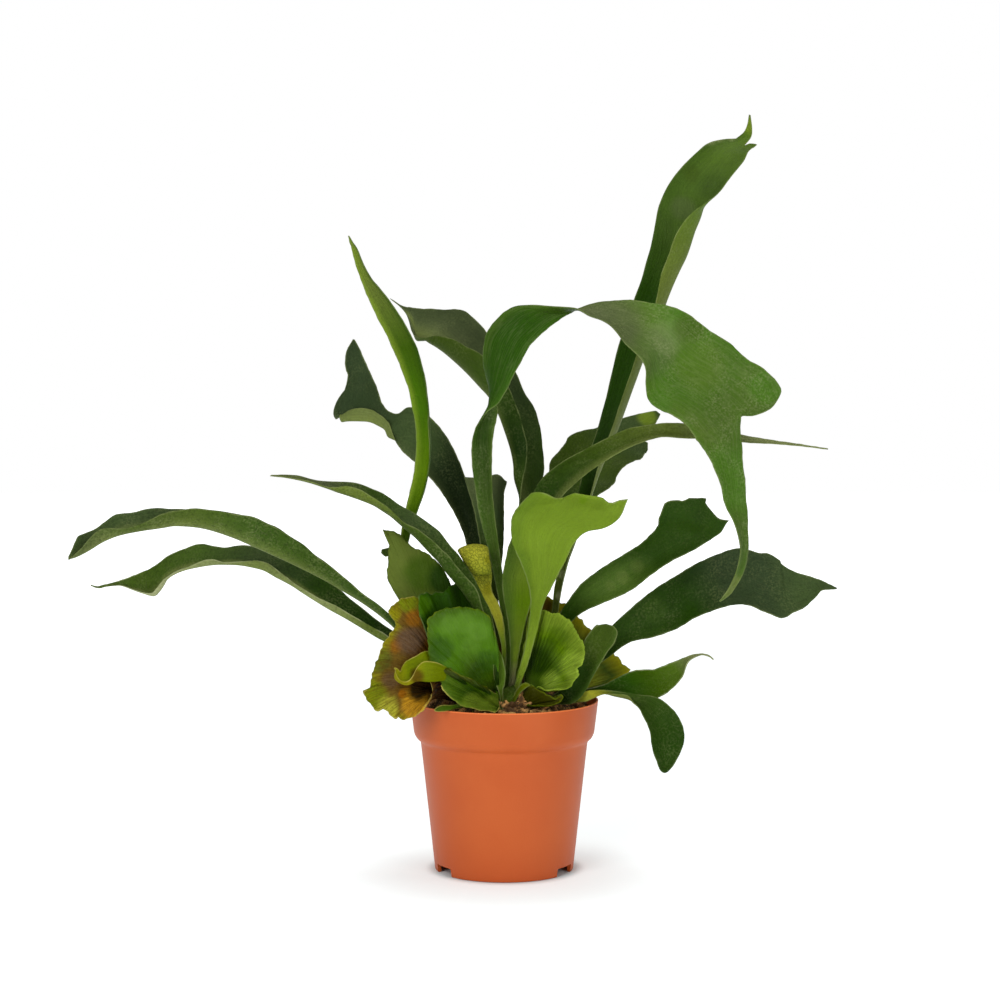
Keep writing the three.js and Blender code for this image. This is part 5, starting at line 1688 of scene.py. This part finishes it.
def notch_cutter(angle):
    """A block with rounded top edges across the foot."""
    shape = bmesh.new()
    bmesh.ops.create_cube(shape, size=1)
    for vertex in shape.verts:
        vertex.co = Vector([c * size * MM for c, size in zip(vertex.co, NOTCH_SIZE)])
    top = []
    for edge in shape.edges:
        first, second = (vertex.co for vertex in edge.verts)
        if first.x != second.x and first.z > 0 and second.z > 0:
            top.append(edge)
    bmesh.ops.bevel(shape, geom=top, offset=NOTCH_ROUNDING * MM, segments=3, affect="EDGES", profile=0.5)
    return cutter_of("notch_cutter", shape, angle, NOTCH_DISTANCE, 0)


def drain_cutter(angle):
    shape = bmesh.new()
    radius = DRAIN_RADIUS * MM
    depth = 4 * POT_WALL * MM
    bmesh.ops.create_cone(shape, cap_ends=True, segments=32, radius1=radius, radius2=radius, depth=depth)
    return cutter_of("drain_cutter", shape, angle, DRAIN_CIRCLE, DRAIN_HEIGHT)


def cutter_of(name, shape, angle, distance, height):
    turn = math.radians(angle)
    cutter = bpy.data.objects.new(name, mesh_from(name, shape))
    cutter.rotation_euler = (0, 0, turn)
    cutter.location = POT_AXIS + at_turn(turn, distance, height) * MM
    bpy.context.scene.collection.objects.link(cutter)
    return cutter


# The rhizome: a full rounded block with lumps and scales.
RHIZOME_CENTRE = np.array([1, -4, 106]) * MM
RHIZOME_HALF_SIZE = np.array([48, 24, 10]) * MM
RHIZOME_FULLNESS = 2.6
RHIZOME_SIDES = 160
RHIZOME_RINGS = 70
LUMP_SHARE = 0.06
SCALE_SHARE = 0.025


def rhizome_surface(direction):
    reach = (np.abs(direction) ** RHIZOME_FULLNESS).sum() ** (1 / RHIZOME_FULLNESS)
    x, y, z = direction
    lump = LUMP_SHARE * math.sin(5 * x + 1) * math.cos(4 * y + 3 * z)
    scale = SCALE_SHARE * math.sin(31 * x + 6 * y) * math.sin(27 * y + 9 * z) * math.cos(23 * z + 5 * x)
    return RHIZOME_CENTRE + direction / reach * (1 + lump + scale) * RHIZOME_HALF_SIZE + AXIS


def rhizome_piece():
    shape = bmesh.new()
    bmesh.ops.create_uvsphere(shape, u_segments=RHIZOME_SIDES, v_segments=RHIZOME_RINGS, radius=1)
    for vertex in shape.verts:
        vertex.co = Vector(rhizome_surface(np.array(vertex.co)))
    return placed("rhizome_block", mesh_from("rhizome_block", shape))


# The soil: a rough mound that fills the pot, strewn with chips of bark, in millimetres. A heap of more
# chips lies in front of the stalks, between two corners.
SOIL_RADIUS = 59.2
SOIL_BOTTOM = 96
SOIL_EDGE_HEIGHT = 104
SOIL_MOUND = 4
SOIL_LUMPS = 0.8
SOIL_CRUMBS = 0.35
SOIL_RINGS = 60
SOIL_SEGMENTS = 160
CHIP_COUNT = 1500
CHIP_SIZE = (1.2, 3.8)
CHIP_SHRINK = (0.5, 1)
CHIP_STRETCHES = [(0.9, 1.9), (0.6, 1.0), (0.35, 0.7)]
CHIP_UNEVENNESS = 0.22
CHIP_REACH = 2.2
CHIP_RISE = 0.2
CHIP_TILT = 0.45
HEAP_COUNT = 260
HEAP_LOW = (-12, -33)
HEAP_HIGH = (32, -9)


def soil_height(x, y):
    share = min(math.hypot(x, y) / SOIL_RADIUS, 1)
    lumps = math.sin(0.31 * x + 1.7) * math.cos(0.27 * y) + math.sin(0.43 * y + 0.23 * x)
    crumbs = math.sin(1.9 * x + 0.7 * y) * math.sin(1.6 * y - 0.5 * x + 2)
    mound = SOIL_EDGE_HEIGHT + SOIL_MOUND * (1 - share**2)
    return mound + SOIL_LUMPS * lumps * (1 - share**4) + SOIL_CRUMBS * crumbs


def soil_piece():
    points = [AXIS + np.array([0, 0, soil_height(0, 0)]) * MM]
    for ring in range(1, SOIL_RINGS + 1):
        for x, y, _ in circle(SOIL_SEGMENTS, SOIL_RADIUS * ring / SOIL_RINGS, 0):
            points.append(AXIS + np.array([x, y, soil_height(x, y)]) * MM)
    points += [AXIS + point * MM for point in circle(SOIL_SEGMENTS, SOIL_RADIUS - 1, SOIL_BOTTOM)]
    rings = [list(range(start, start + SOIL_SEGMENTS)) for start in range(1, len(points), SOIL_SEGMENTS)]
    faces = [[0, rings[0][k], rings[0][(k + 1) % SOIL_SEGMENTS]] for k in range(SOIL_SEGMENTS)]
    for inner, outer in zip(rings, rings[1:]):
        for k in range(SOIL_SEGMENTS):
            following = (k + 1) % SOIL_SEGMENTS
            faces.append([inner[k], outer[k], outer[following], inner[following]])
    faces.append(list(reversed(rings[-1])))
    add_chips(points, faces)
    return piece_of("bark_soil", points, faces)


def chip_shape(random):
    """A chip: a small ball pressed flat, with its points moved about."""
    shape = bmesh.new()
    bmesh.ops.create_icosphere(shape, subdivisions=1, radius=1)
    stretch = np.array([random.uniform(*limits) for limits in CHIP_STRETCHES])
    points = np.array([v.co for v in shape.verts]) * stretch
    points *= 1 + random.uniform(-CHIP_UNEVENNESS, CHIP_UNEVENNESS, (len(points), 1))
    faces = [[v.index for v in f.verts] for f in shape.faces]
    shape.free()
    return points, faces


def turned_at_random(points, random):
    turn = random.uniform(0, 2 * math.pi)
    lean = random.normal(0, CHIP_TILT)
    roll = random.normal(0, CHIP_TILT)
    matrix = Matrix.Rotation(turn, 3, "Z") @ Matrix.Rotation(lean, 3, "X") @ Matrix.Rotation(roll, 3, "Y")
    return points @ np.array(matrix).T


def cover_height(x, y):
    """The height of what a chip lies on: the soil, or the rhizome where it stands higher."""
    ground = soil_height(x, y)
    across = (np.array([x, y]) * MM - RHIZOME_CENTRE[:2]) / RHIZOME_HALF_SIZE[:2]
    left = 1 - (np.abs(across) ** RHIZOME_FULLNESS).sum()
    if left <= 0:
        return ground
    top = RHIZOME_CENTRE[2] + RHIZOME_HALF_SIZE[2] * left ** (1 / RHIZOME_FULLNESS)
    return max(ground, top / MM - 1)


def add_chips(points, faces):
    """Adds chips all over the soil, then more of them in the heap, to the points and the faces."""
    random = np.random.default_rng(SEED)
    for i in range(CHIP_COUNT + HEAP_COUNT):
        size = random.uniform(*CHIP_SIZE) * random.uniform(*CHIP_SHRINK)
        if i < CHIP_COUNT:
            radius = (SOIL_RADIUS - CHIP_REACH * size) * math.sqrt(random.uniform(0, 1))
            turn = random.uniform(0, 2 * math.pi)
            x, y = radius * math.cos(turn), radius * math.sin(turn)
        else:
            x, y = random.uniform(HEAP_LOW, HEAP_HIGH)
        shape, shape_faces = chip_shape(random)
        shape = turned_at_random(shape, random) * size * MM
        start = len(points)
        points += list(shape + AXIS + np.array([x, y, cover_height(x, y) + CHIP_RISE * size]) * MM)
        faces += [[start + k for k in face] for face in shape_faces]


# The lights look at a point in the middle of the plant. Each has its place from there, its size and
# its power.
LIT_POINT = Vector(AXIS) + Vector((0, 0, 0.25))
LIGHTS = {
    "key": ((-1.1, -1.9, 1.0), 1.6, 30),
    "fill": ((1.3, -1.8, 0.3), 1.6, 18),
    "top": ((0.1, 0.3, 1.8), 2.0, 16),
}
WORLD_LIGHT = 0.3
FLOOR_HALF = 4.0
FLOOR_GAP = 0.2 * MM
FLOOR_COLOUR = (0.82, 0.9, 0.91, 1)
FLOOR_ROUGHNESS = 0.9

# The floor glows a little so that it ends up white away from the pot: painted light, which grows with
# the distance from the pot, so that the darker ring round its foot is partly painted shadow. A glow has
# its middle, given by how far it lies behind the pot's axis, the two distances between which it grows,
# and its strength.
GLOWS = [(0.0, 0.0445, 0.054, 0.3), (-0.022, 0.06, 0.13, 0.17), (0.0, 0.5, 2.5, 0.6)]


def area_light(name, place, size, power):
    lamp = bpy.data.lights.new(name, "AREA")
    lamp.shape = "DISK"
    lamp.size = size
    lamp.energy = power
    light = bpy.data.objects.new(name, lamp)
    light.location = LIT_POINT + Vector(place)
    light.rotation_euler = (-Vector(place)).to_track_quat("-Z", "Y").to_euler()
    bpy.context.scene.collection.objects.link(light)


def set_world():
    """White where the camera looks past everything, and a weaker even light on the object."""
    world = bpy.data.worlds.new("studio")
    bpy.context.scene.world = world
    world.use_nodes = True
    tree = world.node_tree
    background = tree.nodes["Background"]
    background.inputs["Color"].default_value = WHITE
    seen = tree.nodes.new("ShaderNodeLightPath").outputs["Is Camera Ray"]
    strength = tree.nodes.new("ShaderNodeMapRange")
    strength.inputs["To Min"].default_value = WORLD_LIGHT
    strength.inputs["To Max"].default_value = 1.0
    tree.links.new(seen, strength.inputs["Value"])
    tree.links.new(strength.outputs["Result"], background.inputs["Strength"])


def floor_piece():
    corners = [(-1, -1), (1, -1), (1, 1), (-1, 1)]
    points = [(x * FLOOR_HALF, y * FLOOR_HALF, pot_low.z - FLOOR_GAP) for x, y in corners]
    floor = piece_of("studio_floor", points, [[0, 1, 2, 3]])
    n = Nodes("floor")
    glow = 0.0
    # Painted light on the floor, weaker round the pot's foot, so that the ring there is partly painted
    # shadow.
    for behind, start, full, strength in GLOWS:
        away = n.distance(n.place, tuple(AXIS + [0, behind, 0]))
        glow = n.plus(n.times(n.level(away, start, full), strength), glow)
    finish = n.finish(
        Base_Color=FLOOR_COLOUR, Roughness=FLOOR_ROUGHNESS, Emission_Color=WHITE, Emission_Strength=glow
    )
    floor.data.materials.append(finish)


def set_camera():
    camera = bpy.data.objects.new("camera", bpy.data.cameras.new("camera"))
    camera.data.sensor_width = SENSOR
    camera.data.lens = FOCAL * SENSOR / PICTURE
    camera.location = Vector(EYE + AXIS)
    camera.rotation_euler = (math.pi / 2 - LOOK_DOWN, 0, 0)
    bpy.context.scene.collection.objects.link(camera)
    bpy.context.scene.camera = camera


wear(pot_piece(), pot_finish(), "pot")
wear(soil_piece(), bark_finish(), "soil")
wear(rhizome_piece(), rhizome_finish(), "rhizome")
for kind, make_leaf, leaves in (("long", long_leaf, LONG_LEAVES), ("round", round_leaf, ROUND_LEAVES)):
    for leaf_name, leaf in leaves.items():
        blade = make_leaf("leaf_" + leaf_name, **leaf)
        wear(blade, leaf_finish(leaf_name + "_finish", LOOKS[leaf_name], kind), leaf_name)
for scrap_name, scrap in SCRAPS.items():
    blade = long_leaf(scrap_name, **scrap)
    blade.data.materials.append(leaf_finish(scrap_name + "_finish", LOOKS[scrap_name], "long"))
    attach(blade, "root")

set_world()
floor_piece()
set_camera()
for light_name, light in LIGHTS.items():
    area_light(light_name, *light)
bpy.context.scene.view_settings.view_transform = "Standard"
